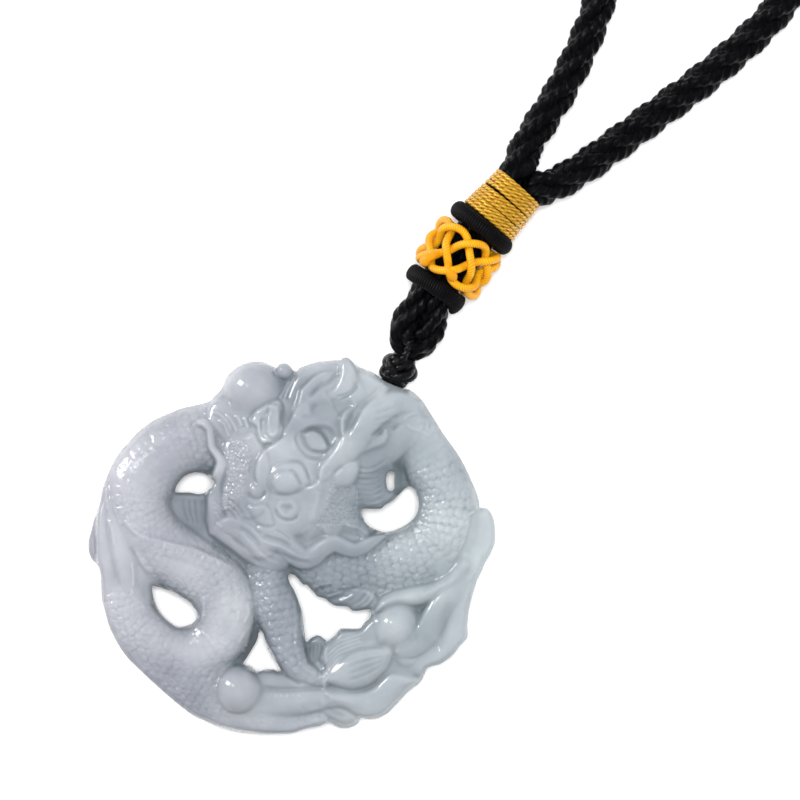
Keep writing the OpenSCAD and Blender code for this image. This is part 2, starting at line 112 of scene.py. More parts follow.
def across(path, first_turn, last_turn):
    """Two directions square to the path at each row: level to its left, and up. The end rows face
    along the given slopes, and those near them part of the way."""
    ahead = unit(np.gradient(path[:, :3], axis=0))
    share = np.linspace(1, 0, turn_rows)[:, None]
    for rows, turn, share in ((slice(turn_rows), first_turn, share),
                              (slice(-turn_rows, None), last_turn, share[::-1])):
        given = np.array([np.cos(np.radians(turn)), np.sin(np.radians(turn)), 0])
        ahead[rows] = unit(share * given + (1 - share) * ahead[rows])
    left = unit(np.cross([0, 0, 1], ahead))
    return left, np.cross(ahead, left)


def skin(name, rings, uv=None, loop=False):
    """A closed mesh over rings of points in mm. Four-sided faces join each ring to the next, and a
    flat cap closes each end, unless the last ring joins the first. uv has one pair a point, and a
    last column for the points of the first column once round."""
    n, m = rings.shape[:2]
    i, j = np.meshgrid(np.arange(n if loop else n - 1), np.arange(m), indexing="ij")
    corners = [(i, j), (i, j + 1), (i + 1, j + 1), (i + 1, j)]
    quads = np.stack([a % n * m + b % m for a, b in corners], -1).reshape(-1, 4)
    caps = np.empty(0, int) if loop else np.r_[np.arange(m)[::-1], (n - 1) * m + np.arange(m)]
    mesh = bpy.data.meshes.new(name)
    mesh.vertices.add(n * m)
    mesh.vertices.foreach_set("co", (rings * MM).ravel())
    mesh.loops.add(quads.size + caps.size)
    mesh.loops.foreach_set("vertex_index", np.r_[quads.ravel(), caps])
    mesh.polygons.add(len(quads) + len(caps) // m)
    starts = np.r_[np.arange(len(quads)) * 4, quads.size + np.arange(len(caps) // m) * m]
    mesh.polygons.foreach_set("loop_start", starts)
    mesh.update(calc_edges=True)
    mesh.polygons.foreach_set("use_smooth", np.arange(len(mesh.polygons)) < len(quads))
    if uv is not None:
        pairs = np.stack([uv[np.minimum(a, len(uv) - 1), b] for a, b in corners], 2).reshape(-1, 2)
        pairs = np.vstack([pairs, np.zeros((len(caps), 2))])
        mesh.uv_layers.new(name="lay").data.foreach_set("uv", pairs.ravel())
    ends = np.empty(2 * len(mesh.edges), int)
    mesh.edges.foreach_get("vertices", ends)
    at_cap = (ends.reshape(-1, 2) < m).all(1) | (ends.reshape(-1, 2) >= (n - 1) * m).all(1)
    mesh.edges.foreach_set("use_edge_sharp", at_cap & (not loop))
    mesh.validate()
    piece = bpy.data.objects.new(name, mesh)
    bpy.context.scene.collection.objects.link(piece)
    return piece


def twist(angle, along, plies, lead, out):
    """Edge of a twisted cord of radius 1, and the angle round its nearest ply. The plies are round,
    their middles lie out from the axis, and they turn once round it in each lead. A ray at phi
    from a ply's middle leaves the ply at out cos phi + sqrt((1 - out)^2 - (out sin phi)^2)."""
    part = 2 * np.pi / plies
    phi = (angle - 2 * np.pi * along / lead + part / 2) % part - part / 2
    edge = out * np.cos(phi) + np.sqrt((1 - out) ** 2 - (out * np.sin(phi)) ** 2)
    return edge, np.arctan2(edge * np.sin(phi), edge * np.cos(phi) - out)


def rope(name, path, s, lead, first_turn, last_turn):
    """A stretch of the rope along rows of place, half width and half height, at running lengths s.
    The edge of its twisted plies gets a row of small round strands, which cross each ply at
    strand_turn: a strand is where along sin turn + round cos turn is a whole count of its widths,
    and between two the edge sinks as a cosine."""
    left, up = across(path, first_turn, last_turn)
    angle = np.linspace(0, 2 * np.pi, ring_points + 1)[None]
    along = s[:, None]
    edge, round_ply = twist(angle, along, plies, lead, ply_out)
    ply_slope = np.hypot(1, np.pi * cord_d * ply_run / lead)
    on_ply = np.broadcast_to(along * ply_slope, edge.shape)
    round_ply = round_ply * (1 - ply_out) * cord_d / 2
    turn = np.radians(strand_turn)
    lay = np.stack([on_ply * np.cos(turn) - round_ply * np.sin(turn),
                    on_ply * np.sin(turn) + round_ply * np.cos(turn)], -1)
    edge = edge + strand_h * (np.cos(2 * np.pi * lay[..., 1] / strand_w) - 1) / cord_d
    ring = edge[:, :-1, None]
    angle = angle[:, :-1, None]
    points = path[:, None, :3] + ring * (np.cos(angle) * left[:, None] * path[:, 3, None, None]
                                         + np.sin(angle) * up[:, None] * path[:, 4, None, None])
    return skin(name, points, lay / lay_unit)


def strand_side(rows, side):
    """Path of one strand of the doubled cord: each row's place moved aside by its spread."""
    slope = np.gradient(rows[:, :2], axis=0)
    slope[0] = np.cos(hang_slope), np.sin(hang_slope)
    aside = side * unit(np.stack([-slope[:, 1], slope[:, 0]], 1)) * rows[:, 3:4]
    return np.column_stack([rows[:, :2] + aside, rows[:, [2, 4, 5]]])


# The doubled stretch of the same rope, from the binding down to its bend round the thread and back
# up. The binding squeezes its two strands side by side. Rows: place, half the strands' spacing,
# half a strand's width and half its height.
hang_slope = np.radians(66.0)
fold_rows = np.array([
    [17.6, 30.4, 4.9, 1.7, 2.3, 2.4], [18.1, 31.5, 5.1, 1.75, 2.35, 2.4],
    [19, 33.5, 5.4, 1.5, 2.15, 2.4], [20.5, 36.7, 5.8, 1.35, 1.85, 2.7],
    [23.9, 41.4, 5.8, 1.35, 1.85, 2.7], [26.9, 45.2, 5.8, 1.35, 1.85, 2.7],
    [30.3, 48.8, 5.8, 1.5, 1.95, 2.8], [32.9, 51.6, 5.8, 1.95, 2.25, 2.4]])
left_strand = [[32.5, 54, 5.6, 2.75, 2.6], [33.2, 56.4, 5.1, 2.55, 2.55]]
right_strand = [[35.6, 51, 5.6, 2.75, 2.6], [38.2, 51.9, 5.1, 2.55, 2.55]]
bend_drop = 0.3  # how far the bend's middle hangs below its strands
bend_steps = 6

half_turn = np.arange(1, bend_steps) / bend_steps
x, y, z, spread, half_w, half_h = fold_rows[0]
bend_angle = hang_slope + np.pi * (0.5 + half_turn)
bend = np.column_stack([x + spread * np.cos(bend_angle), y + spread * np.sin(bend_angle),
                        z - bend_drop * np.sin(np.pi * half_turn),
                        np.full_like(bend_angle, half_w), np.full_like(bend_angle, half_h)])
fold_path = np.vstack([np.vstack([strand_side(fold_rows, 1), left_strand])[::-1], bend,
                       strand_side(fold_rows, -1), right_strand])
fold_path, fold_s = even(smooth(fold_path, path_steps), ring_gap)
neck_path, neck_s = even(smooth(route, path_steps), ring_gap)
neck_path = np.column_stack([neck_path, np.full((len(neck_path), 2), cord_d / 2)])
loop_length = neck_s[-1] + fold_s[-1]
lead = plies * loop_length / round(loop_length / bump_gap)  # the rope closes with its plies in step
neck_cord = rope("twisted_neck_cord", neck_path, neck_s, lead, left_turn, right_turn + 180)
# The fold's path runs the other way, down from the left strand's end, so its length counts back.
cord_fold = rope("doubled_cord", fold_path[::-1], neck_s[-1] + fold_s, lead,
                 right_turn + 180, left_turn)


def linear(code):
    """An sRGB hex colour as the linear values that a shader takes."""
    c = np.array([int(code[i:i + 2], 16) for i in (1, 3, 5)]) / 255
    return (*np.where(c <= 0.04045, c / 12.92, ((c + 0.055) / 1.055) ** 2.4), 1.0)


def add(tree, kind, inputs, **settings):
    """Adds a node with its settings. Each input is a value, or a socket that it is linked from."""
    node = tree.nodes.new("ShaderNode" + kind)
    for name, value in settings.items():
        setattr(node, name, value)
    for socket, value in inputs.items():
        if isinstance(value, bpy.types.NodeSocket):
            tree.links.new(value, node.inputs[socket])
        else:
            node.inputs[socket].default_value = value
    return node


def finish(name, *pieces):
    """A new, empty material of that name on each piece, and its node tree."""
    material = bpy.data.materials.new(name)
    material.use_nodes = True
    material.node_tree.nodes.clear()
    for piece in pieces:
        piece.data.materials.clear()
        piece.data.materials.append(material)
    return material.node_tree


# Twisted satin yarn: filament nylon, dyed black. Its straight filaments catch the light as short
# bright dashes along each small strand, so the sheen breaks up there and stays dark elsewhere.
# Along the dashes its colour is also painted a little lighter, as a faint painted glint.
black_yarn = "#020203"
black_painted_glint = "#101014"
filament_gap = 0.3  # mm; the real filaments are finer, and drawn as bundles that just show
dash_l = 2.6  # mm of a filament that glints as one
tree = finish("black twisted satin yarn", neck_cord, cord_fold)
lay = add(tree, "UVMap", {}, uv_map="lay").outputs[0]
strands = add(tree, "Mapping", {
    "Vector": lay, "Scale": (lay_unit / dash_l, lay_unit / filament_gap, 1)}).outputs[0]
filaments = add(tree, "TexNoise", {"Vector": strands, "Scale": 1.0, "Detail": 2.0,
                                   "Roughness": 0.6}).outputs[0]
# Colour: black, painted a little lighter along the filaments' dashes as a faint painted glint
colour = add(tree, "ValToRGB", {"Fac": filaments})
for stop, where, code in zip(colour.color_ramp.elements, (0.45, 0.75), (black_yarn, black_painted_glint)):
    stop.position, stop.color = where, linear(code)
rough = add(tree, "MapRange", {"Value": filaments, "From Min": 0.35, "From Max": 0.7,
                               "To Min": 0.5, "To Max": 0.2}).outputs[0]
bump = add(tree, "Bump", {"Height": filaments, "Strength": 0.8, "Distance": 0.2 * MM}).outputs[0]
yarn = add(tree, "BsdfPrincipled", {"Base Color": colour.outputs[0], "Roughness": rough,
                                    "Normal": bump, "IOR": 1.53, "Specular IOR Level": 0.11})
add(tree, "OutputMaterial", {"Surface": yarn.outputs[0]})
for piece, node in ((neck_cord, "neck_cord"), (cord_fold, "cord_fold")):
    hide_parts(node)
    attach(piece, "root")


# Black rings. Each is a coil of cord round the doubled neck cord, closely wound over with fine
# thread, so that its surface is a row of thin ribs across the ring; the end of the lower one is
# tucked under as a small tail.
axis_z = 5.8  # height of the bound cord's axis
grip_r = 3.3  # inner radius of the rings and of the knot
lower_ring_at = (20.6, 36.9, 56.0)
upper_ring_at = (27.1, 45.4, 51.0)
lower_ring_r = 4.7
upper_ring_r = 5.2
ring_l = 2.4
ring_sides = 28
rib_gap = 0.34
rib_h = 0.13
rib_lean = 1.2  # of a rib over its section, in radians of its phase
rib_steps = 6  # rings of the mesh to each rib
tail_turn = np.radians(250)  # where round the ring its tail is
tail_w = 0.3
lower_tail, upper_tail = 0.9, 0.0  # how much the section swells there


def on_axis(points, place):
    """Points turned from a frame of down, left and along to the binding's axis at a place, given
    as a point of the plan and the axis's slope there."""
    turn = np.radians(place[2])
    down, left, along = np.moveaxis(points, -1, 0)
    return np.stack([place[0] + along * np.cos(turn) - left * np.sin(turn),
                     place[1] + along * np.sin(turn) + left * np.cos(turn), axis_z - down], -1)


def wound_ring(name, outer, place, tail):
    """A ring of oval section round the axis: centre r + a cos v out, b sin v along, for v round the
    section. Its skin stands in ribs, the absolute sine of half a rib's phase, which leans with v.
    Near tail_turn the section swells by the tail and shifts back."""
    half = (outer - grip_r) / 2
    ribs = round(2 * np.pi * (outer - half) / rib_gap)
    u = np.linspace(0, 2 * np.pi, ribs * rib_steps + 1)[:-1, None]
    v = np.linspace(2 * np.pi, 0, ring_sides + 1)[None, :-1]
    from_tail = (u - tail_turn + np.pi) % (2 * np.pi) - np.pi
    swell = tail * np.exp(-(from_tail / tail_w) ** 2)
    rib = rib_h * (np.abs(np.sin(ribs * u / 2 + rib_lean * np.sin(v))) - 0.6)
    fade = 0.5 - 0.5 * np.tanh((-np.cos(v) - 0.3) * 4)  # no ribs on the hidden inner side
    out = outer - half + (half + rib * fade) * np.cos(v)
    along = (ring_l / 2 + rib * fade) * np.sin(v) * (1 + 0.25 * swell) - 0.5 * swell
    points = np.stack([out * np.cos(u), out * np.sin(u), along], -1)
    return skin(name, on_axis(points, place), loop=True)


lower_ring = wound_ring("lower_wound_ring", lower_ring_r, lower_ring_at, lower_tail)
upper_ring = wound_ring("upper_wound_ring", upper_ring_r, upper_ring_at, upper_tail)

# Wound black thread: the same satin yarn, finer, with a dull even sheen over its ribs.
tree = finish("black wound thread", lower_ring, upper_ring)
place = add(tree, "TexCoord", {}).outputs["Object"]
fluff = add(tree, "TexNoise", {"Vector": place, "Scale": 1 / (1.5 * MM), "Detail": 3.0}).outputs[0]
colour = add(tree, "ValToRGB", {"Fac": fluff})
for stop, where, code in zip(colour.color_ramp.elements, (0.4, 0.7), ("#040405", "#09090b")):
    stop.position, stop.color = where, linear(code)
grain = add(tree, "TexNoise", {"Vector": place, "Scale": 1 / (0.2 * MM), "Detail": 1.0}).outputs[0]
bump = add(tree, "Bump", {"Height": grain, "Strength": 0.4, "Distance": 0.05 * MM}).outputs[0]
thread = add(tree, "BsdfPrincipled", {"Base Color": colour.outputs[0], "Roughness": 0.5,
                                      "Normal": bump, "IOR": 1.53, "Specular IOR Level": 0.12})
add(tree, "OutputMaterial", {"Surface": thread.outputs[0]})
for piece, node in ((lower_ring, "lower_ring"), (upper_ring, "upper_ring")):
    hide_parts(node)
    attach(piece, "root")


# Woven knot. One smooth yellow cord woven over and under itself round the doubled neck cord, with
# black openings between its strands. Its ends are cut short and melted at the lower left.
knot_at = (23.8, 41.1, 54.0)
knot_l = 7.8
knot_r = 0.57
knot_leads = 4
knot_loops = 7
over = knot_r + 0.05  # with a little air between two strands that cross
mid_r = grip_r + knot_r + over
knot_steps = 22  # rings of the mesh from one crossing to the next
cord_sides = 16


def tube(path, r, sides, loop=False):
    """Rings of a round tube along a path, squared to it at each row, with r for each row or all.
    Each ring starts square to a fixed slanting direction, which no path here takes."""
    ahead = unit(np.roll(path, -1, 0) - np.roll(path, 1, 0) if loop else np.gradient(path, axis=0))
    side = unit(np.cross(ahead, [0.3, 0.2, 1.0]))
    a = np.linspace(0, 2 * np.pi, sides + 1)[None, :-1, None]
    ring = np.cos(a) * side[:, None] + np.sin(a) * np.cross(ahead, side)[:, None]
    return path[:, None] + np.reshape(r, (-1, 1, 1)) * ring


def woven(c):
    """Middle of the woven strand, where c counts the crossings passed. It swings from end to end
    once in knot_leads crossings, as a cosine, while it turns 180 degrees in each knot_loops, and
    it lies over and under in turn; round each end it keeps over or under for longer."""
    part, swing = c % knot_leads, c // knot_leads
    near = np.minimum(part, knot_leads - part)
    near = np.where(near < 1, 0.5 + near / 2, near)
    phase = np.where(part < knot_leads / 2, near, knot_leads - near)
    r = mid_r + over * np.cos(np.pi * (phase + swing * (knot_leads - 1)))
    turn = np.pi * c / knot_loops
    return np.stack([r * np.cos(turn), r * np.sin(turn),
                     (knot_l / 2 - knot_r) * np.cos(np.pi * c / knot_leads)], -1)


crossings = 2 * knot_leads * knot_loops
c = np.arange(crossings * knot_steps) / knot_steps
woven_path = woven(c)
rings = tube(woven_path, knot_r, cord_sides, loop=True)
run = np.cumsum(np.linalg.norm(np.diff(woven_path, axis=0, append=woven_path[:1]), axis=1))
round_it = np.linspace(0, 2 * np.pi * knot_r, cord_sides + 1)
lay = np.stack(np.broadcast_arrays(run[:, None], round_it), -1)
knot = skin("yellow_woven_knot", on_axis(rings, knot_at), lay / lay_unit, loop=True)

# Its two ends come out at the lower left and are melted into small lumps. Rows: place and radius.
ends_at = ([[20.9, 41.6, 9.4, 0.6], [20, 41.2, 9.9, 0.6], [19.3, 40.9, 10, 0.68],
            [18.9, 40.4, 9.7, 0.75], [18.7, 40.1, 9.4, 0.4]],
           [[22.3, 40.1, 10.4, 0.55], [22.3, 39.3, 10.9, 0.6], [22.7, 38.7, 10.9, 0.75],
            [23, 38.2, 10.6, 0.7], [23.2, 37.9, 10.3, 0.35]])
end_steps = 8
tails = []
for number, rows in enumerate(ends_at):
    rows = smooth(rows, end_steps)
    rings = tube(rows[:, :3], rows[:, 3], cord_sides)
    tails.append(skin(f"melted_cord_end_{number + 1}", rings))

# Yellow satin cord: fine rayon thread wound over a core, so it shows close slanting ribs. Its
# colour is painted deeper orange in the grooves between the ribs, as painted shade, and it also
# varies a little as the dye does.
satin_gap = 0.3  # mm from one rib to the next
wave_bands = 3.14  # bands that a wave texture of scale 1 has in a unit, near enough
tree = finish("yellow satin cord", knot, *tails)
lay = add(tree, "UVMap", {}, uv_map="lay").outputs[0]
turned = add(tree, "Mapping", {"Vector": lay, "Rotation": (0, 0, np.radians(20))}).outputs[0]
ribs = add(tree, "TexWave", {"Vector": turned, "Scale": lay_unit / satin_gap / wave_bands,
                             "Distortion": 0.6, "Detail": 1.0},
           wave_type="BANDS", bands_direction="X").outputs[1]
place = add(tree, "TexCoord", {}).outputs["Object"]
dye = add(tree, "TexNoise", {"Vector": place, "Scale": 1 / (2.5 * MM), "Detail": 2.0}).outputs[0]
# Painted shade: the colour is deeper orange where the ribs sink, mixed with the dye's own variation
dye_and_rib_shade = add(tree, "Math", {0: ribs, 1: dye}, operation="MULTIPLY").outputs[0]
colour = add(tree, "ValToRGB", {"Fac": dye_and_rib_shade})
for stop, where, code in zip(colour.color_ramp.elements, (0.1, 0.55), ("#d08a06", "#f0b41c")):
    stop.position, stop.color = where, linear(code)
bump = add(tree, "Bump", {"Height": ribs, "Strength": 0.5, "Distance": 0.06 * MM}).outputs[0]
satin = add(tree, "BsdfPrincipled", {"Base Color": colour.outputs[0], "Roughness": 0.45,
                                     "Normal": bump})
add(tree, "OutputMaterial", {"Surface": satin.outputs[0]})
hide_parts("woven_knot")
for piece in (knot, *tails):
    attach(piece, "root")


# Gold binding. One length of plied gold thread wound in close turns round both strands, from the
# lower end up; here and there two turns part and the black cord shows between them.
gold_at = (30.3, 48.8, 48.0)
gold_d = 0.66
gold_turns = 10
gold_gap = 0.42  # between two turns where they part
partings = ((6.1, 0.6, 0.4), (3.1, 0.2, -0.2))  # turn, mean of the gap and its swing round the turn
parting_l = 0.3  # part of a turn over which two part
gold_r = 4.5
gold_taper = 0.5
gold_press = 0.95  # from one turn to the next, of gold_d
gold_plump = 0.54  # radius to the plies' edge, of gold_d, as the turns are pressed together
gold_dive = 0.35  # how far each end dives under, in the given last part of a turn
dive_l = 0.1
gold_plies = 3
gold_ply_out = 0.42
gold_lead = 3.0
gold_sides = 14
gold_steps = 260  # rings of the mesh in each turn
turns = np.arange(gold_turns * gold_steps + 1) / gold_steps
f = turns / gold_turns
angle = 2 * np.pi * turns
wind_r = gold_r - gold_d / 2 - gold_taper * f
wind_r = wind_r - gold_dive * (1 - np.clip(np.minimum(turns, gold_turns - turns) / dive_l, 0, 1))
along = gold_turns * gold_d * (f - 0.5) * gold_press - gold_gap / 2
for start, mean, swing in partings:
    parted = np.clip((turns - start) / parting_l, 0, 1)
    along += gold_gap * (mean + swing * np.sin(angle)) * parted
gold_path = np.stack([wind_r * np.cos(angle), wind_r * np.sin(angle), along], -1)
gold_run = np.concatenate([[0], np.cumsum(np.linalg.norm(np.diff(gold_path, axis=0), axis=1))])
ply_angle = np.linspace(0, 2 * np.pi, gold_sides + 1)[None]
edge, _ = twist(ply_angle, -gold_run[:, None], gold_plies, gold_lead, gold_ply_out)
ahead = unit(np.gradient(gold_path, axis=0))
out = unit(gold_path * [1, 1, 0])
aside = np.cross(ahead, out)
ring = np.cos(ply_angle)[..., None] * out[:, None] + np.sin(ply_angle)[..., None] * aside[:, None]
points = (gold_path[:, None] + gold_d * gold_plump * edge[..., None] * ring)[:, :-1]
lay = np.stack(np.broadcast_arrays(gold_run[:, None] / lay_unit, edge), -1)
binding = skin("gold_thread_binding", on_axis(points, gold_at), lay)

# Plied gold thread: lustrous rayon, a warm dull gold with bright flecks along each ply. Its colour
# is darkened in the grooves between the plies, as painted shade.
tree = finish("plied gold thread", binding)
place = add(tree, "TexCoord", {}).outputs["Object"]
flecks = add(tree, "TexNoise", {"Vector": place, "Scale": 1 / (0.3 * MM), "Detail": 2.0}).outputs[0]
colour = add(tree, "ValToRGB", {"Fac": flecks})
for stop, where, code in zip(colour.color_ramp.elements, (0.3, 0.75), ("#c4881a", "#f2c448")):
    stop.position, stop.color = where, linear(code)
# Painted shade: the colour is multiplied darker in the grooves between the plies
out_on_ply = add(tree, "SeparateXYZ", {"Vector": add(tree, "UVMap", {}).outputs[0]}).outputs[1]
groove = add(tree, "MapRange", {"Value": out_on_ply, "From Min": 0.74, "From Max": 0.95,
                                "To Min": 0.4, "To Max": 1.0}).outputs[0]
colour = add(tree, "Mix", {0: 1.0, 6: colour.outputs[0], 7: groove}, data_type="RGBA",
             blend_type="MULTIPLY")
bump = add(tree, "Bump", {"Height": flecks, "Strength": 0.5, "Distance": 0.06 * MM}).outputs[0]
gold = add(tree, "BsdfPrincipled", {"Base Color": colour.outputs[2], "Roughness": 0.32,
                                    "Normal": bump, "Metallic": 0.35})
add(tree, "OutputMaterial", {"Surface": gold.outputs[0]})
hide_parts("gold_binding")
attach(binding, "root")


# Hanging thread. A thin black thread runs through the bend of the rope and through a small hole at
# the stone's upper edge, and is tied between them in a small lumpy knot.
hang = np.array([13.9, 22.1])  # the hole's mouth
thread_r = 0.5
thread_plies = 2
thread_lead = 1.6
thread_ply_out = 0.3
loop_steps = 120
# Middle ahead of the hole's mouth, its height, half length and half height of each loop
eye_loop = (6.9, 4.7, 2.0, 1.8)
stone_loop = (-0.9, 2.05, 2.2, 1.5)


def at_hole(points):
    """Points from a frame of ahead, aside and up at the hole's mouth, along the thread's slope."""
    ahead, aside, up = np.moveaxis(points, -1, 0)
    cos, sin = np.cos(hang_slope), np.sin(hang_slope)
    return np.stack([hang[0] + ahead * cos - aside * sin,
                     hang[1] + ahead * sin + aside * cos, up], -1)


def thread_loop(name, middle, z, half_l, half_h):
    """An upright oval loop of plied thread: ahead is middle + half_l cos a, the height is
    z + half_h sin a, and the running length is near enough half_l a."""
    a = np.linspace(0, 2 * np.pi, loop_steps + 1)[:-1]
    path = np.stack([middle + half_l * np.cos(a), 0 * a, z + half_h * np.sin(a)], -1)
    ring = np.linspace(0, 2 * np.pi, cord_sides + 1)[None, :-1]
    edge, _ = twist(ring, half_l * a[:, None], thread_plies, thread_lead, thread_ply_out)
    outward = unit(path - [middle, 0, z])[:, None]
    points = path[:, None] + thread_r * edge[..., None] * (
        np.cos(ring)[..., None] * outward + np.sin(ring)[..., None] * [0, 1.0, 0])
    return skin(name, at_hole(points), loop=True)


thread_eye = thread_loop("thread_loop_in_cord", *eye_loop)
thread_hole = thread_loop("thread_loop_in_stone", *stone_loop)

# The knot is drawn as the thread wound in slanting turns, each turned on from the last, round a
# small lumpy egg. Its thread looks thicker than in the loops, as it lies doubled.
knot_ahead, knot_z = 3.4, 3.4
knot_thread_r = 0.6
knot_sides = 12
egg = np.array([1.75, 1.85, 1.5])  # half widths ahead, aside and up
wraps = 7
wrap_steps = 48
wrap_on = 0.37  # how far each turn is turned on from the last, of a turn
wrap_slim, wrap_rise = 0.5, 0.85  # half widths of a turn across and up, for 1 along it
lump, lumps = 0.22, 2.3  # how much the egg swells, and how often in a turn
a = np.linspace(0, 2 * np.pi * wraps, wraps * wrap_steps + 1)
turned = a * wrap_on
knot_path = unit(np.stack([np.cos(a) * np.cos(turned) - wrap_slim * np.sin(a) * np.sin(turned),
                           np.cos(a) * np.sin(turned) + wrap_slim * np.sin(a) * np.cos(turned),
                           wrap_rise * np.sin(a)], -1))
knot_path = knot_path[:, [2, 0, 1]] * egg * (1 + lump * np.sin(lumps * a))[:, None]
knot_path = knot_path + [knot_ahead, 0, knot_z]
small_knot = skin("small_thread_knot", at_hole(tube(knot_path, knot_thread_r, knot_sides)))

# Black thread: twisted polyester or nylon, finer than the yarn and with a little more gloss.
tree = finish("black thread", thread_eye, thread_hole, small_knot)
place = add(tree, "TexCoord", {}).outputs["Object"]
grain = add(tree, "TexNoise", {"Vector": place, "Scale": 1 / (0.5 * MM), "Detail": 2.0}).outputs[0]
bump = add(tree, "Bump", {"Height": grain, "Strength": 0.8, "Distance": 0.2 * MM}).outputs[0]
knotted = add(tree, "BsdfPrincipled", {"Base Color": linear("#060607"), "Roughness": 0.3,
                                       "Normal": bump, "IOR": 1.53, "Specular IOR Level": 0.32})
add(tree, "OutputMaterial", {"Surface": knotted.outputs[0]})
for piece in (thread_eye, thread_hole, small_knot):
    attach(piece, "root")
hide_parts("hanging_thread")


# Jade dragon. One flat-backed piece of pale jadeite, carved in relief on its front and cut through
# in six places, then polished. It is drawn as a height field: every form of the dragon raises the
# stone where it lies, grooves are cut into the forms, and scales cover the bodies.
carve_gap = 0.16  # between two points of the carved face
rim_drop = 0.6  # how far below the face its rounded edge meets the sides
ground_z = 3.4  # of the stone where no form lies
edge_r = 0.75  # how far in the stone's edges are rounded
crisp_w = 0.25  # lines narrower than this are cut last, and stay crisp
cut_fade, step_fade = 0.18, 0.3  # share of a line over which each of its ends fades
step_w = 0.07  # half width of a step's edge
groove_w = 0.22  # half width of the groove along the foot of a swelling
rim_steps, ridge_steps, line_steps = 4, 6, 5  # rows of each smoothed path to each row given
columns = np.arange(-29.6, 29.6, carve_gap)
lines = np.arange(-27.6, 27.6, carve_gap)
gx, gy = np.meshgrid(columns, lines)
height = np.full(gx.shape, ground_z)
fine = np.zeros(gx.shape)  # lines and scales, cut when the forms are already polished
skin_kind = np.zeros(gx.shape, int)  # which texture the topmost form has
skin_along = np.zeros(gx.shape)
skin_aside = np.zeros(gx.shape)

outline = [  # of the stone, clockwise from the upper left
    [-16, 19.6], [-14, 20.1], [-12.3, 20.5], [-11.4, 20.9], [-11, 21.4], [-10.1, 22.3],
    [-9.7, 23.1], [-9.3, 24], [-8.5, 24.9], [-7.5, 25.7], [-6.1, 26.3], [-4.9, 26.4], [-4, 26.3],
    [-2.9, 25.8], [-2.1, 25.5], [-1.6, 26.1], [-0.8, 26.1], [-0.1, 25.7], [0.3, 25.1], [0.7, 24.9],
    [1.1, 25.4], [2, 25.8], [3.5, 26.3], [5, 26.5], [7, 26.6], [7.4, 26.9], [8.1, 26.9],
    [8.9, 26.2], [9.4, 25.7], [11.5, 24.9], [12.4, 24.3], [13.5, 23.5], [16, 22.5], [17, 22.3],
    [18.5, 21], [19.2, 20], [19.9, 18.9], [20.7, 17.6], [21.7, 16], [22.8, 14.5], [23.9, 12.9],
    [24.9, 11.1], [25.7, 9.3], [26.4, 7.7], [26.8, 6.3], [26.9, 5.5], [27.7, 5.5], [28.4, 4.9],
    [28.8, 4], [29, 2.7], [29, 0.9], [28.8, 0], [28.3, -1.1], [27.6, -2.3], [27.1, -3.5],
    [26.4, -4.9], [26, -6.3], [25.5, -8], [25.2, -9.6], [25.1, -11.3], [25.1, -12.7], [24.8, -13.3],
    [24, -14.1], [23.3, -15.1], [22.3, -16], [21.2, -16.7], [20.1, -17], [19.4, -17.3],
    [19.1, -17.8], [18.8, -18.7], [18, -19.7], [16.9, -20.5], [15.9, -21.5], [14.8, -22.7],
    [13.7, -23.8], [12.4, -24.5], [11.1, -24.7], [9.9, -24.5], [9.5, -25.3], [8.7, -25.8],
    [7.7, -26], [6.8, -25.9], [5.9, -25.4], [5, -25.1], [4, -25.6], [2.7, -25.8], [1.3, -26.2],
    [0, -26.6], [-2, -26.7], [-4.7, -26.7], [-7.3, -26.5], [-10, -25.8], [-12, -25], [-14, -24.1],
    [-15.2, -23.2], [-17, -21.7], [-20.2, -18.8], [-22.4, -16.7], [-23.2, -15.9], [-24.4, -14.3],
    [-25.3, -12.7], [-26, -11.1], [-26.5, -9.3], [-27, -7.3], [-27.1, -5.3], [-27.2, -3.5],
    [-27.5, -2.7], [-28.3, -2], [-28.8, -0.9], [-28.9, 0.7], [-28.5, 2.3], [-28.1, 4], [-27.3, 6.1],
    [-26.9, 8], [-26.3, 9.9], [-25.5, 11.7], [-24.4, 13.5], [-23.2, 14.9], [-22, 16.2],
    [-20.7, 17.3], [-18.9, 18.4]]
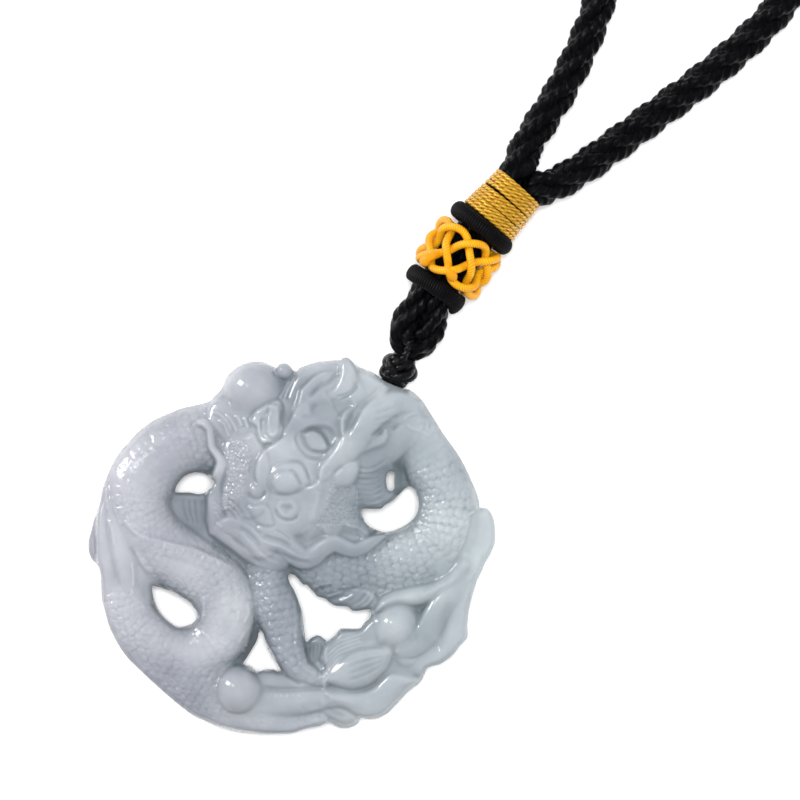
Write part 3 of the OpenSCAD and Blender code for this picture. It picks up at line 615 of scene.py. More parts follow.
holes = [  # upper left, lower left, beside the foreleg, the large one, right, the slit over that
    [[-16.6, 7.7], [-15.9, 9.4], [-14.5, 10.4], [-12.6, 10.4], [-10.9, 9.4], [-11.3, 8.4],
     [-12.9, 7.5], [-14.7, 7.7]],
    [[-19.6, -5.5], [-19.9, -6], [-19.7, -7.3], [-19.2, -8.7], [-18.4, -9.9], [-17.3, -10.9],
     [-16.3, -11.5], [-14.9, -11.3], [-13.9, -10.8], [-13.4, -9.9], [-13.7, -8.8], [-14.9, -7.6],
     [-16.7, -6.7], [-18.3, -6]],
    [[-4.3, -11.8], [-4.7, -12.3], [-4.9, -13.3], [-5.6, -14.6], [-6.4, -15.9], [-6.9, -16.8],
     [-6, -17.1], [-5.5, -17.5], [-4.9, -17.9], [-3.9, -17.6], [-2.7, -17.6], [-1.7, -17.9],
     [-1.6, -17.4], [-2.3, -16.3], [-3.1, -15], [-3.6, -13.7], [-4, -12.3]],
    [[2, -13.5], [2.8, -13.1], [3.7, -12.7], [4.5, -13.1], [5, -13.5], [5.7, -13.1], [6.4, -12.5],
     [6.9, -11.8], [7.6, -11.7], [9.7, -11.7], [10.3, -11], [11.3, -10.1], [11.3, -9.4],
     [11.1, -8.9], [9.2, -9.2], [8.5, -9], [8.1, -8.6], [6.8, -8.5], [5.9, -8.3], [4.9, -7.5],
     [3.7, -7.1], [3.5, -6.9], [2.8, -6.1], [2.3, -5.5], [1.7, -5.4], [1.1, -4.7], [0.5, -4.1],
     [0, -3.9], [-0.4, -4.1], [-0.3, -5.1], [0.5, -6.5], [1.2, -8.3], [1.6, -9.9]],
    [[10, 5.4], [12.7, 5.4], [13.3, 5.9], [14.4, 6.5], [15.3, 7.3], [16, 8.1], [16.7, 8.5],
     [17.5, 8.3], [18, 7.3], [18.2, 6], [17.9, 4.7], [17.1, 3.6], [15.9, 2.8], [14.4, 2.2],
     [13.1, 2.1], [11.6, 2.6], [10.5, 3.5], [10.1, 4.7]],
    [[13.9, 10.7], [14.3, 10.8], [14.7, 10.5], [14.7, 9.3], [14.7, 8.3], [14.2, 7.9], [13.7, 8.3],
     [13.5, 9.3], [13.6, 10.3]]]


def smooth_ring(rows, n):
    """The same smooth curve through rows whose last joins the first."""
    rows = np.asarray(rows, float)
    wide = np.vstack([rows[-2:], rows, rows[:2]])
    return smooth(wide, n)[2 * n:-2 * n]


def near(path, reach):
    """The part of the grid within reach of a path, and for each of its points the nearest row of
    the path, as a number with a fraction, and the distance from it, positive to the left. The
    nearest foot on each stretch is a + t d, with t the point's share along it, kept in 0 to 1."""
    low, high = path[:, :2].min(0) - reach, path[:, :2].max(0) + reach
    part = (slice(*np.searchsorted(lines, [low[1], high[1]])),
            slice(*np.searchsorted(columns, [low[0], high[0]])))
    x, y = gx[part], gy[part]
    best, row, side = np.full(x.shape, np.inf), np.zeros(x.shape), np.zeros(x.shape)
    for i, (a, d) in enumerate(zip(path[:-1, :2], np.diff(path[:, :2], axis=0))):
        t = np.clip(((x - a[0]) * d[0] + (y - a[1]) * d[1]) / (d @ d), 0, 1)
        ox, oy = x - a[0] - t * d[0], y - a[1] - t * d[1]
        far = ox * ox + oy * oy
        closer = far < best
        best = np.where(closer, far, best)
        row = np.where(closer, i + t, row)
        side = np.where(closer, d[0] * oy - d[1] * ox, side)
    return part, row, np.sqrt(best) * np.where(side < 0, -1, 1)


def inside(path, x, y):
    """Whether points lie inside a closed path: a ray to the right crosses it an odd number of
    times."""
    odd = np.zeros(x.shape, bool)
    for (x0, y0), (x1, y1) in zip(path[:, :2], np.roll(path[:, :2], -1, 0)):
        if y0 != y1:
            odd ^= ((y0 > y) != (y1 > y)) & (x < x0 + (y - y0) * (x1 - x0) / (y1 - y0))
    return odd


def at(path, row, column):
    """A column of the path's table at rows given with a fraction."""
    return np.interp(row, np.arange(len(path)), path[:, column])


def raise_to(part, top, kind=0, along=0.0, aside=0.0, fillet=0.4):
    """Raises the stone to a form where the form is higher. Where the two are within the fillet of
    each other their valley is filled by h^2 / 4 of it, with h their closeness from 0 to 1."""
    was = height[part]
    close = np.clip(1 - np.abs(top - was) / fillet, 0, 1)
    upper = top > was
    height[part] = np.maximum(top, was) + fillet * close**2 / 4
    skin_kind[part] = np.where(upper, kind, skin_kind[part])
    skin_along[part] = np.where(upper, along, skin_along[part])
    skin_aside[part] = np.where(upper, aside, skin_aside[part])


def ridge(table, kind=0, dome=0.8, fillet=0.4, lean=0.0):
    """A long rounded form. Rows: place, crest height, half width. Across it the height is
    crest - dome w (1 - sqrt(1 - q^2)), with q the distance over the half width w; lean shifts the
    crest to one side by that part of w. Past its edge it falls at 2 over the fillet."""
    path = smooth(table, ridge_steps)
    run = np.concatenate([[0], np.cumsum(np.hypot(*np.diff(path[:, :2], axis=0).T))])
    part, row, aside = near(path, path[:, 3].max() + 1.5)
    top, wide = at(path, row, 2), at(path, row, 3)
    q = aside / wide
    q = np.abs(q - lean * (1 - np.minimum(q * q, 1)))
    inner = np.sqrt(np.clip(1 - q * q, 0, None))
    z = top - dome * wide * (1 - inner) - 2 / fillet * np.clip(q - 1, 0, None) * wide
    raise_to(part, z, kind, np.interp(row, np.arange(len(run)), run), aside, fillet)


def ball(x, y, top, r, fillet=0.4):
    """A round form: top - r (1 - sqrt(1 - q^2)), with q the distance over r. Past its edge it
    falls steeply."""
    part, _, d = near(np.array([[x, y], [x + 1e-3, y]]), r + 1)
    q = np.abs(d) / r
    z = top - r * (1 - np.sqrt(np.clip(1 - q * q, 0, None))) - 9 * np.clip(q - 1, 0, None)
    raise_to(part, z, fillet=fillet)


def area(table):
    """The inside of a closed outline: its part of the grid, and the distance in from the edge."""
    path = smooth_ring(table, line_steps)
    path = np.vstack([path, path[:1]])
    part, _, d = near(path, 2.5)
    return part, np.where(inside(path, gx[part], gy[part]), 1, -1) * np.abs(d)


def round_edge(d, r):
    """A quarter circle's height over its foot, from 0 at the edge to 1 at r:
    sqrt(1 - (1 - d / r)^2)."""
    return np.sqrt(1 - (1 - np.clip(d / r, 0, 1)) ** 2)


def block(table, edge=0.8, bulge=0.0, kind=0, fillet=0.4):
    """A form with a closed outline. Rows: place and height, through which a plane is fitted. Its
    edge is rounded, and it bulges by 1 - (1 - d / reach)^2, with d the distance in from the edge
    and reach the largest of these."""
    part, d = area(table)
    x, y, z = np.array(table, float).T
    fit = np.linalg.lstsq(np.column_stack([x, y, np.ones(len(x))]), z, rcond=None)[0]
    deep = np.clip(d / d.max(), 0, 1)
    z = fit[0] * gx[part] + fit[1] * gy[part] + fit[2] + bulge * (1 - (1 - deep) ** 2)
    z = z - edge * (1 - round_edge(d, edge)) - 2 / fillet * np.clip(-d, 0, None)
    raise_to(part, z, kind, fillet=fillet)


def swell(rise, edge, table, kind=None, groove=0.25):
    """Raises what lies inside a closed outline over whatever shape the stone has there, with a
    rounded edge and a fine groove along its foot. A negative rise sinks it by 3 t^2 - 2 t^3."""
    part, d = area(table)
    t = np.clip(d / edge, 0, 1)
    height[part] += rise * (round_edge(d, edge) if rise > 0 else t * t * (3 - 2 * t))
    height[part] -= groove * np.exp(-(d / groove_w) ** 2) * (d < 0.3)
    if kind is not None:
        skin_kind[part] = np.where(d > 0, kind, skin_kind[part])


def along_line(table, reach, end):
    """An open line: its part of the grid, the distance from it, positive to the left, and how far
    it has faded in. Each end takes that share of the line to fade."""
    path = smooth(table, line_steps)
    part, row, d = near(path, reach)
    share = row / (len(path) - 1)
    t = np.clip(np.minimum(share, 1 - share) / end, 0, 1)
    return part, d, t * t * (3 - 2 * t)


def cut(half_width, depth, *paths):
    """Lines cut into the stone, or raised where depth is negative: depth exp(-(d / w)^2), faded
    to nothing at the ends of each line. Narrow ones are cut last, and stay crisp."""
    for table in paths:
        part, d, fade = along_line(table, 3 * half_width, cut_fade)
        cut_into = fine if half_width < crisp_w else height
        cut_into[part] -= depth * fade * np.exp(-(d / half_width) ** 2)


def step(rise, reach, *paths):
    """Edges of overlapping forms. On the left of each line the stone stands higher by the rise,
    which sinks back with exp(-d / reach), and along its foot on the right runs a soft groove."""
    for table in paths:
        part, d, fade = along_line(table, 3 * reach + 1, step_fade)
        up = 1 / (1 + np.exp(-np.clip(d / step_w, -30, 30)))
        lift = up * np.exp(-np.clip(d, 0, None) / reach)
        lift = lift * (1 - 0.3 * np.exp(-((d + 0.5) / 0.45) ** 2))
        foot = 0.3 * (1 - up) * np.exp(-np.clip(-d, 0, None) / 0.45)
        height[part] += fade * rise * (lift - foot)


def hair(half_width, depth, count, first, last):
    """Evenly spread lines between a first and a last one that have as many rows."""
    first, last = np.array(first, float), np.array(last, float)
    for share in np.linspace(0, 1, count):
        cut(half_width, depth, first + (last - first) * share)


def polish(z, passes):
    """Rounds all edges: each pass averages every point with its neighbours, weighted 1 2 1."""
    for _ in range(passes):
        z = np.pad(z, 1, mode="edge")
        z = (z[:-2] + 2 * z[1:-1] + z[2:]) / 4
        z = (z[:, :-2] + 2 * z[:, 1:-1] + z[:, 2:]) / 4
    return z


# Bodies of the dragon, covered in scales: the broad band along the lower left rim, the upper left
# coil, and the right flank
FINE, BEADS, STIPPLE, LEG = 1, 2, 3, 4  # kinds of skin
ridge([[-24.9, -3, 5, 2.2], [-24.2, -8, 5.6, 3.4], [-22, -12.4, 6, 4.6], [-18, -16.4, 6.2, 5.2],
       [-13.4, -19.2, 6, 4.8], [-8.6, -21.8, 5.8, 4.4], [-4, -24.2, 5.6, 2.6],
       [0.6, -25.2, 5.4, 1.7], [4, -24.8, 5.1, 1.2]], kind=FINE, dome=0.45)
ridge([[-7.3, 17, 5.6, 4], [-13, 15.5, 6.4, 4.7], [-17.8, 13.3, 7, 5], [-21.6, 9, 7.2, 5],
       [-22, 5, 7.3, 4.9], [-19.5, 0.7, 7.2, 4.7], [-15.2, -2.2, 7.3, 4.5], [-10.6, -5.9, 7.3, 4.6],
       [-9.4, -10.1, 7.2, 4.3], [-11.2, -13.8, 6.8, 4], [-15.3, -15.3, 6.4, 3.9],
       [-20.2, -13.3, 6.2, 4], [-23.7, -9.3, 6, 3.4], [-24.7, -5, 5.8, 2.6], [-24.9, -2, 5.2, 2.1]],
      kind=FINE, dome=0.7, fillet=1.2)
ridge([[14.9, 19.4, 6.2, 3.6], [18, 15.8, 6.4, 3.9], [20.9, 10.8, 6.6, 4.4], [22.1, 5.5, 6.8, 4.9],
       [20.9, 0.3, 6.8, 4.9], [16.3, -1.9, 6.6, 4.3], [11.5, -2.8, 6.2, 4.6], [6.6, -3.2, 5.9, 5],
       [2.4, -2.2, 5.6, 4.2], [-0.5, -1.3, 5.2, 2.8]], kind=BEADS, dome=0.7)

# The upper body lies over the lower one along a long line; both have a smooth border strip
step(0.55, 1.6, [[-7.4, -3.6], [-9, -2.3], [-11.3, -1.1], [-14, 0.1], [-17.3, 0.8], [-20.7, 1.6],
                 [-23.2, 2.6]])
cut(0.35, 0.12, [[-19, -1.2], [-16.6, -1.7], [-13.6, -2.6], [-11, -4.2], [-9.4, -6.4]])
cut(0.3, -0.35, [[-12.7, -7], [-12.4, -8.3], [-12.5, -9.6], [-13, -10.6]])
cut(0.6, 0.12, [[-8.3, -5], [-8.2, -8], [-8.6, -11], [-10.2, -13.4]])
cut(0.16, -0.16, [[-6.2, -8], [-6, -9.4], [-6.7, -11]], [[-6.5, -12], [-7, -13], [-7.6, -14]],
    [[-7.4, -9], [-7.6, -10.6]])
nicks = (-17.8, 0.3), (-16, -0.1), (-15.1, -0.1), (-13.4, -0.6), (-12.2, -1)
cut(0.12, -0.18, *[[[x, y], [x - 0.35, y - 0.9]] for x, y in nicks])
step(0.5, 1.2, [[-25.6, 4], [-26, 6], [-26.2, 9], [-26.3, 11.4]])

# Sunk ground between the bodies beside the lower left hole, and recess under the upper left hole
block([[-23.6, -0.6, 6.2], [-21.4, -0.8, 6.6], [-19.6, -3.4, 6.2], [-18.6, -5.4, 5.6],
       [-19.4, -7.6, 5], [-20.6, -9.6, 5.2], [-22.6, -7.8, 5.6], [-23.6, -4.4, 5.9]],
      edge=1.2, fillet=1.6)
block([[-17, 7.7, 4.6], [-16.6, 4.4, 4.8], [-14.6, 2, 5], [-11.2, 0.4, 5.2], [-10.8, 8.4, 4.8],
       [-13, 7.5, 4.6]], edge=0.4, fillet=1.2)

# Foreleg, with a smooth strip along its right side, and the limbs below it
ridge([[-3.6, -1.3, 5.4, 2.9], [-2.6, -6.2, 6, 3.4], [-1.4, -10.7, 6.4, 3.3],
       [-0.4, -14.6, 6.4, 2.4], [1, -17.2, 6.2, 1.8], [3.2, -18.6, 5.9, 1.2],
       [4.6, -19.2, 5.6, 0.9]], kind=LEG, dome=0.7)
step(0.35, 0.9, [[0.1, -6], [0.5, -9], [0.5, -12.3], [0.7, -15], [1.3, -17], [2.8, -18.1],
                 [3.8, -18.5]])
ridge([[-5.2, -19.1, 5.7, 1.4], [-1.6, -19.2, 5.7, 1.3], [1.6, -19.8, 5.6, 0.9],
       [4.6, -20, 5.3, 0.6]], dome=0.7)
ridge([[-5.6, -22.2, 6, 2.2], [-0.2, -22.2, 6.2, 2.1], [4.4, -21.6, 6.1, 1.6],
       [7, -21.6, 5.9, 1.3]], dome=0.6)
cut(0.3, 0.3, [[-4, -19.8], [-2, -20.45], [0.7, -20.35], [3.3, -20.25], [4.8, -20.2]])
cut(0.12, 0.4, [[-1.6, -17.9], [-0.5, -18.5], [0.6, -19.2], [1.4, -19.8]])
cut(0.16, -0.14, *[[[x, -20.8], [x + 0.1, -21.5]] for x in (-2.2, -1.4, -0.6, 0.3, 1.2)])
cut(0.6, 0.12, [[1.6, -23.4], [2.8, -22.6], [4.4, -22.4]])

# Leaves of flame at the bottom right, from the rim inwards, with the sunk ground between them
block([[2.6, -23.9, 5], [4.4, -22.2, 5.6], [8, -22.4, 5.6], [10, -24, 5], [9.5, -25.3, 4.4],
       [7.8, -25.9, 4.2], [5.9, -25.2, 4.4]], edge=1.4)
cut(0.4, 0.14, [[4.6, -22.6], [5.4, -23.1], [6.3, -23.8], [7.6, -24.4]],
    [[7.4, -22.6], [8.2, -23.2], [9.2, -23.9], [9.9, -24.5]])
block([[12, -16.6, 5.8], [15, -15.4, 5.8], [18, -16, 5.6], [19.6, -17, 5], [17.4, -18.8, 5],
       [14.4, -18.4, 5.6], [12.8, -18, 5.8]], edge=0.8, fillet=1.4)
block([[4.6, -20.6, 5.8], [7.2, -20.5, 6], [9, -20.6, 6.2], [10.6, -20.3, 6.4], [12, -19.5, 6.5],
       [13, -18.5, 6.5], [14, -17.8, 6.4], [15.5, -17.8, 6.1], [17.2, -18.3, 5.4], [18.8, -19, 4.6],
       [17.2, -20.4, 4.6], [15.6, -22.2, 4.6], [13.8, -24, 4.6], [11.9, -24.8, 4.6],
       [9.9, -24.9, 4.8], [7.5, -23.4, 5.4], [5, -22.4, 5.6]], edge=1.2, bulge=0.6)
block([[1.6, -13.4, 4.4], [3.2, -12.7, 4.8], [3.9, -12.5, 5], [5.4, -13.5, 5.2], [5, -17, 5],
       [3.6, -17.8, 4.8], [2, -17.6, 4.4]], edge=0.4)
hair(0.16, 0.22, 5, [[2.2, -13.8], [2.1, -15.4], [2.6, -17]],
     [[4.3, -13.6], [4.2, -15], [3.7, -16.8]])
block([[4.6, -14.2, 6.2], [5.2, -13.4, 6.2], [6.3, -12.6, 6], [7.2, -11.8, 5.8], [9.9, -11.6, 5.8],
       [11.6, -9.6, 5.8], [13, -11.5, 6.2], [13, -13.8, 6.4], [10, -14.8, 6.8], [8, -15.8, 6.8],
       [6.3, -17.6, 6.6], [5.2, -19.2, 6.2], [4.7, -20, 5.9], [4, -18.6, 6], [4.9, -17.2, 6.1],
       [4.2, -15.8, 6.1]], edge=0.7, bulge=0.3, fillet=0.8)
cut(0.15, -0.25, [[5.4, -13.9], [4.8, -15], [5, -16.2], [4.4, -17], [4.7, -18.2], [4.2, -19]],
    [[4.9, -17.4], [5.3, -18.4], [4.7, -19.4], [4.9, -20.4]])
hair(0.17, 0.16, 5, [[5, -14.6], [6.6, -13.3], [8.4, -12.6], [10.4, -12]],
     [[5, -17.6], [6.6, -15.7], [8.4, -14.9], [10.6, -14.1]])
cut(0.8, 0.3, [[9.8, -13.6], [11, -13.1], [12, -13.1], [13, -13.8]])
block([[5, -19.4, 6.3], [5.4, -18, 6.8], [7, -16.2, 7.2], [8.6, -15.1, 7.4], [10, -14.6, 7.4],
       [12, -14.3, 7.2], [13.8, -14.4, 7], [14.4, -15.4, 6.8], [13.7, -17.3, 6.6],
       [12.3, -18.8, 6.6], [10.8, -19.9, 6.4], [8.6, -20.4, 6.3], [6.6, -20, 6.2]],
      edge=1.1, bulge=0.3, fillet=1)
hair(0.2, 0.1, 4, [[7.4, -16.4], [9.4, -15.5], [11.4, -15.1], [13.2, -15]],
     [[8, -19], [10, -18.4], [11.6, -17.6], [13.2, -16.6]])

# Right claw: palm, the three fingers, and the pearl that they hold
block([[20.4, -3, 5.9], [20.6, -1.2, 5.9], [21, 2, 5.9], [22.4, 4.4, 5.9], [24.6, 4.9, 5.9],
       [26.9, 5.3, 5.8], [28.8, 5.6, 5.6], [29.8, 2.2, 5.5], [29.4, 0, 5.5], [28.2, -2.6, 5.6],
       [26.8, -5.4, 5.8], [24, -6.6, 6], [21.4, -5.4, 6]], edge=0.9, bulge=0.2, fillet=1.4)
ridge([[26.4, -1, 5.9, 1.4], [25.6, -3, 6.2, 2], [24.3, -7.2, 6.4, 2.2], [23.5, -10.2, 6.4, 2.2],
       [22.8, -13, 6.4, 2.4], [20.8, -15.2, 6.2, 2.4], [18.2, -16.6, 5.8, 1.8],
       [16.4, -16.8, 5.2, 0.9]], dome=0.5)
ridge([[25, -1.6, 6.2, 1], [24.6, -3, 6.6, 1.4], [22.9, -6.4, 7.1, 1.6], [21, -8.8, 7.2, 1.7],
       [20, -10.8, 7.2, 1.7], [19.1, -12.6, 7, 1.7], [17.6, -14.2, 6.7, 1.4],
       [15.8, -14.8, 6.2, 1]], lean=-0.3, dome=0.6)
cut(0.7, 0.3, [[22.8, -7.6], [21.9, -10], [21.5, -12], [21.3, -13.6], [19.8, -15]])
ball(15, -11, 7.9, 3.5, fillet=1.4)
ridge([[14.8, -12.2, 7.3, 2.7], [15.4, -13.4, 6.9, 2.6], [16, -14.6, 6.3, 2.3],
       [16.4, -15.6, 5.7, 1.5]], dome=0.7, fillet=2)
block([[11.9, -9.4, 7], [12.6, -7.6, 7.2], [14.2, -6.4, 7.3], [16, -5.9, 7.4], [18, -5.5, 7.3],
       [19.6, -5.2, 7.2], [21, -4.6, 7.1], [22.4, -3.6, 7], [24.4, -1.6, 6.4], [25.6, -2.6, 6.3],
       [24, -5, 6.8], [21.6, -6.6, 7.1], [19.8, -7.8, 7.2], [17.6, -8.4, 7.5], [15, -8.3, 7.8],
       [13.2, -8.8, 7.6]], edge=1.3, bulge=0.3, fillet=0.8)
cut(0.12, -0.16, [[19.2, -5.9], [19.5, -6.8]], [[20, -5.5], [20.3, -6.4]],
    [[20.7, -5.1], [21.1, -5.8]])
step(0.3, 0.9, [[24.9, -5.6], [25.7, -4.7], [26.4, -3.6], [26.9, -2.2], [27.2, -0.4]])

# Lower fin of the flank, over the large hole, in four lobes
block([[2, -5.2, 4.4], [3.6, -5.6, 5.2], [6, -5.2, 5.4], [9, -5.6, 5.6], [11.6, -6.4, 6],
       [12.4, -8, 6], [11.6, -9.8, 5.4], [9, -9.4, 4.8], [5.6, -8.6, 4.4], [3, -7.2, 4.2]],
      edge=0.8)
cut(0.35, 0.25, [[3.2, -6.4], [4.4, -5.9], [6, -5.7]], [[5.2, -7.7], [6.4, -7.3], [7.8, -6.7]],
    [[8.4, -8.6], [9.4, -8.2], [10.2, -7.4], [10.9, -6.4]], [[6.6, -6.2], [8, -6.3], [9.4, -5.6]])
cut(0.16, -0.25, [[2.9, -6.1], [4.2, -5.5], [5.8, -5.2]], [[4.9, -7.3], [6.2, -6.8], [7.4, -6.4]],
    [[8.7, -8.6], [9.9, -8], [10.6, -7.3], [11.3, -6.3]], [[10, -8.8], [11, -8], [11.6, -7.2]],
    [[6.8, -7.9], [8, -7.4], [9, -6.8]])

# Lower left pearl, and the leaves of flame down the left rim
ball(-7.5, -20.4, 8, 3.5)
ridge([[-27.6, 3.6, 4.8, 0.8], [-28, 1.6, 5.2, 1.2], [-28.1, -0.4, 5.2, 1.2],
       [-27.5, -2.3, 4.8, 0.8]], dome=0.6)
ridge([[-26.4, 8.2, 6, 0.5], [-26.6, 4.8, 6.4, 0.9], [-26.4, 2, 6.8, 1.3], [-26, -1.2, 6.7, 1.7],
       [-25.4, -4.4, 6.2, 1.9], [-24.8, -7.4, 5.7, 1.6]], lean=-0.45, dome=0.6)
ridge([[-25.3, 6.6, 6.4, 0.8], [-25, 3.6, 6.8, 1.2], [-24.3, 0.8, 7, 1.5], [-23.6, -2.2, 6.8, 1.6],
       [-23.2, -5, 6.3, 1.4], [-23.2, -7.4, 5.8, 1]], lean=-0.2, dome=0.6)
cut(0.14, -0.2, [[-26.1, 4], [-25.6, 2.9], [-25.3, 1.6], [-25.2, 0]],
    [[-22.6, -2.2], [-22.4, -4], [-22.5, -5.8]])
step(0.4, 0.7, [[-24, 3.8], [-23.4, 3], [-22.4, 2], [-21.4, 1.6]])

# Head. Its base is a low broad dome with the crown behind it, a cheek on either side, the ground
# under the right cheek and whisker, and the neck on the right with its hair; the horns, ears, lids
# and lips stand on that.
block([[-11.9, 17.4, 6.2], [-11.4, 20.6, 5.8], [-8.4, 21, 6.6], [-5, 21, 7], [-2, 22.4, 6.8],
       [0.6, 24.8, 6.4], [3, 26.1, 6.2], [7.4, 26.6, 6.2], [9, 25.8, 6.2], [12.2, 24.3, 6.2],
       [14, 22.2, 7], [11, 20, 7.4], [6, 17, 7.8], [0, 16, 7.8], [-4, 14, 7.4], [-9, 14.4, 7]],
      edge=1.2, fillet=1.6)
cut(0.22, -0.35, [[-11.2, 19.3], [-10.3, 18.9], [-9.5, 18.3], [-8.9, 17.5], [-8.4, 16.3]],
    [[-10.3, 18.2], [-9.5, 17.4], [-9.1, 16.5], [-8.7, 15.6]],
    [[-9.4, 19.2], [-8.5, 18], [-8, 17.1], [-7.6, 16.2]], [[-7.9, 18.9], [-7.3, 18], [-7, 17.1]],
    [[-6.7, 18.6], [-6.3, 17.7], [-6, 16.8]])
block([[-9.6, 14.4, 6.9], [-8.2, 15.6, 7.1], [-6.6, 16.1, 7.4], [-5, 16, 7.6], [-3, 12, 8],
       [-3.4, 6, 8], [-6, 4, 7.4], [-9.6, 5, 7], [-9.9, 10, 7]], edge=0.6, bulge=0.3)
ridge([[7.2, 21.2, 7.4, 3.4], [5, 17, 8, 5], [2, 12, 8.5, 6], [-0.6, 7, 8.4, 5.6], [-3, 3.4, 8, 4],
       [-4.4, 1.2, 7.4, 2.8]], dome=0.3, fillet=1.2)
block([[0.6, 1, 6.6], [2.4, 3, 6.9], [6, 3.6, 6.7], [10.3, 4, 6.1], [11.2, 1.8, 6.1], [9, 0.2, 6.4],
       [6, 0.8, 6.5], [4, -0.6, 6.5], [2, -0.8, 6.5]], edge=0.8, fillet=1.6)
block([[2, 2.2, 6.6], [2.4, 8, 7.6], [5.4, 10.6, 7.8], [8.6, 9.4, 7.4], [9.8, 7, 6.9], [10, 4, 6.3],
       [9, 2.2, 6], [5, 1.6, 6], [2.6, 1.2, 6.2]], edge=0.7, bulge=0.5, kind=STIPPLE, fillet=1.2)
block([[8.2, 6, 6.2], [8.4, 9, 6.7], [8.6, 12.6, 7], [11, 13.2, 6.9], [13.8, 12.6, 6.4],
       [14.6, 11, 6.2], [14.4, 9, 6.1], [14.6, 7, 6], [12.6, 5.2, 5.8], [10, 5, 6]],
      edge=0.8, fillet=1)
hair(0.15, 0.16, 8, [[9.4, 11.5], [10.8, 11.2], [12.2, 11.6], [13.6, 12.6]],
     [[8.6, 5.7], [10, 5.9], [11.4, 5.6], [12.8, 6.2]])
hair(0.12, -0.12, 6, [[9.6, 10.9], [11, 10.7], [12.6, 11.2], [13.6, 11.9]],
     [[9.4, 6.4], [10.6, 6.6], [12, 6.2], [13.4, 6.9]])
ridge([[5.4, 11, 7.8, 2.6], [8.8, 12.6, 7.5, 3], [12.2, 14.2, 7.1, 3.2], [15.6, 17.6, 6.8, 3.4]],
      dome=0.35, fillet=1)
ball(-5.3, 22.2, 8.2, 4.35, fillet=0.9)
ball(-1, 25.1, 6.9, 1.2, fillet=0.9)
step(0.4, 0.8, [[-9.6, 22.4], [-10.6, 21.5], [-11.6, 20.8]])
hair(0.2, 0.25, 3, [[-2.1, 21], [-1.2, 22.4], [-0.6, 23.8]], [[-0.6, 20.8], [0, 22.4], [0.9, 24.6]])

# Horns and the tines that curl back from them. The left one is a broad sheet with a fold.
step(1.3, 3, [[7, 25], [5.2, 24.9], [3.6, 24.4], [2.6, 23.6], [1.4, 22.4], [1.1, 21.3], [0.8, 20.3],
              [0.3, 19.1], [-0.1, 18.1], [-0.6, 17.1], [-1.2, 15.8]])
cut(0.35, 0.5, [[2.6, 21.2], [3.4, 22.2], [4.2, 22.9], [5.2, 23.4], [6.4, 24.3], [7.2, 25]])
ridge([[8, 26.6, 7, 0.9], [8.1, 25.4, 7.4, 1], [8.1, 24, 7.7, 1.1], [7.7, 22.8, 7.8, 1.1],
       [6.8, 22, 7.7, 0.8], [5.8, 21.6, 7.5, 0.5]], dome=0.4, fillet=0.8)
cut(0.16, 0.25, [[6.2, 21.4], [7.4, 21.6], [8.3, 22], [8.9, 22.6], [9.3, 23.8]],
    [[7, 21], [8.2, 21.5], [9.1, 22.4], [9.5, 23.2]])
cut(1, 0.5, [[2.6, 19.4], [4.6, 20], [7, 20], [9, 20.6]])
cut(0.4, 0.2, [[1.6, 18.8], [2.4, 18.5], [3, 19], [3.2, 19.9], [4.2, 20.2]])
step(1, 2, [[9.6, 20.4], [8.4, 19.9], [7.5, 19.2], [7.1, 18.3], [7, 17.2], [7.1, 16], [7.35, 15],
            [6.8, 14.2], [5.8, 13.3], [4.9, 12.6], [4.2, 12.1]])
ridge([[4.6, 10.4, 8.6, 0.8], [5.8, 12.2, 8.9, 1.2], [7.6, 13.6, 9.2, 1.8], [9, 15.1, 9.2, 1.7],
       [10.2, 16.6, 9.1, 1.5], [11.6, 18.6, 8.8, 1.7], [13.4, 20, 8.2, 1.8], [15.6, 20.6, 7.3, 1.5],
       [17.6, 20.2, 6.6, 1]], lean=0.25, dome=0.45, fillet=0.9)
ridge([[12, 20.4, 7.9, 1.2], [12.7, 21.6, 7.6, 0.8], [13.1, 22.7, 7.2, 0.4]], dome=0.4, fillet=0.8)
step(0.5, 1.6, [[12.8, 22.6], [12.3, 21.6], [11.5, 20.9], [10.5, 20.1], [9.8, 19], [9.2, 17.8],
                [8.7, 16.6], [8.2, 15.4]])
cut(0.35, 0.15, [[7.9, 16], [8.2, 17.4], [8.7, 18.8], [9.6, 20.1]])
ridge([[8.6, 13.9, 8.6, 1.1], [11, 14.8, 8.2, 0.95], [12.5, 15.2, 8, 0.8], [13.2, 15.8, 7.8, 0.5],
       [13.3, 16.5, 7.6, 0.3]], dome=0.5, fillet=0.8)
swell(-0.7, 0.7, [[11, 15.6], [11.6, 16.5], [12.8, 17.2], [14.6, 17.6], [15.8, 17.4], [14.6, 16.4],
                  [13.7, 16.9], [13, 16.3], [12.4, 15.9], [11.6, 15.6]], groove=0)
cut(0.2, 0.1, [[11.5, 19.6], [12.6, 20.3], [14, 21]], [[12, 18.9], [13.4, 19.4], [15, 20]],
    [[11.7, 18], [13.4, 18.4], [15.4, 18.6]], [[12.6, 17.4], [14.4, 17.6], [16, 17.4]])

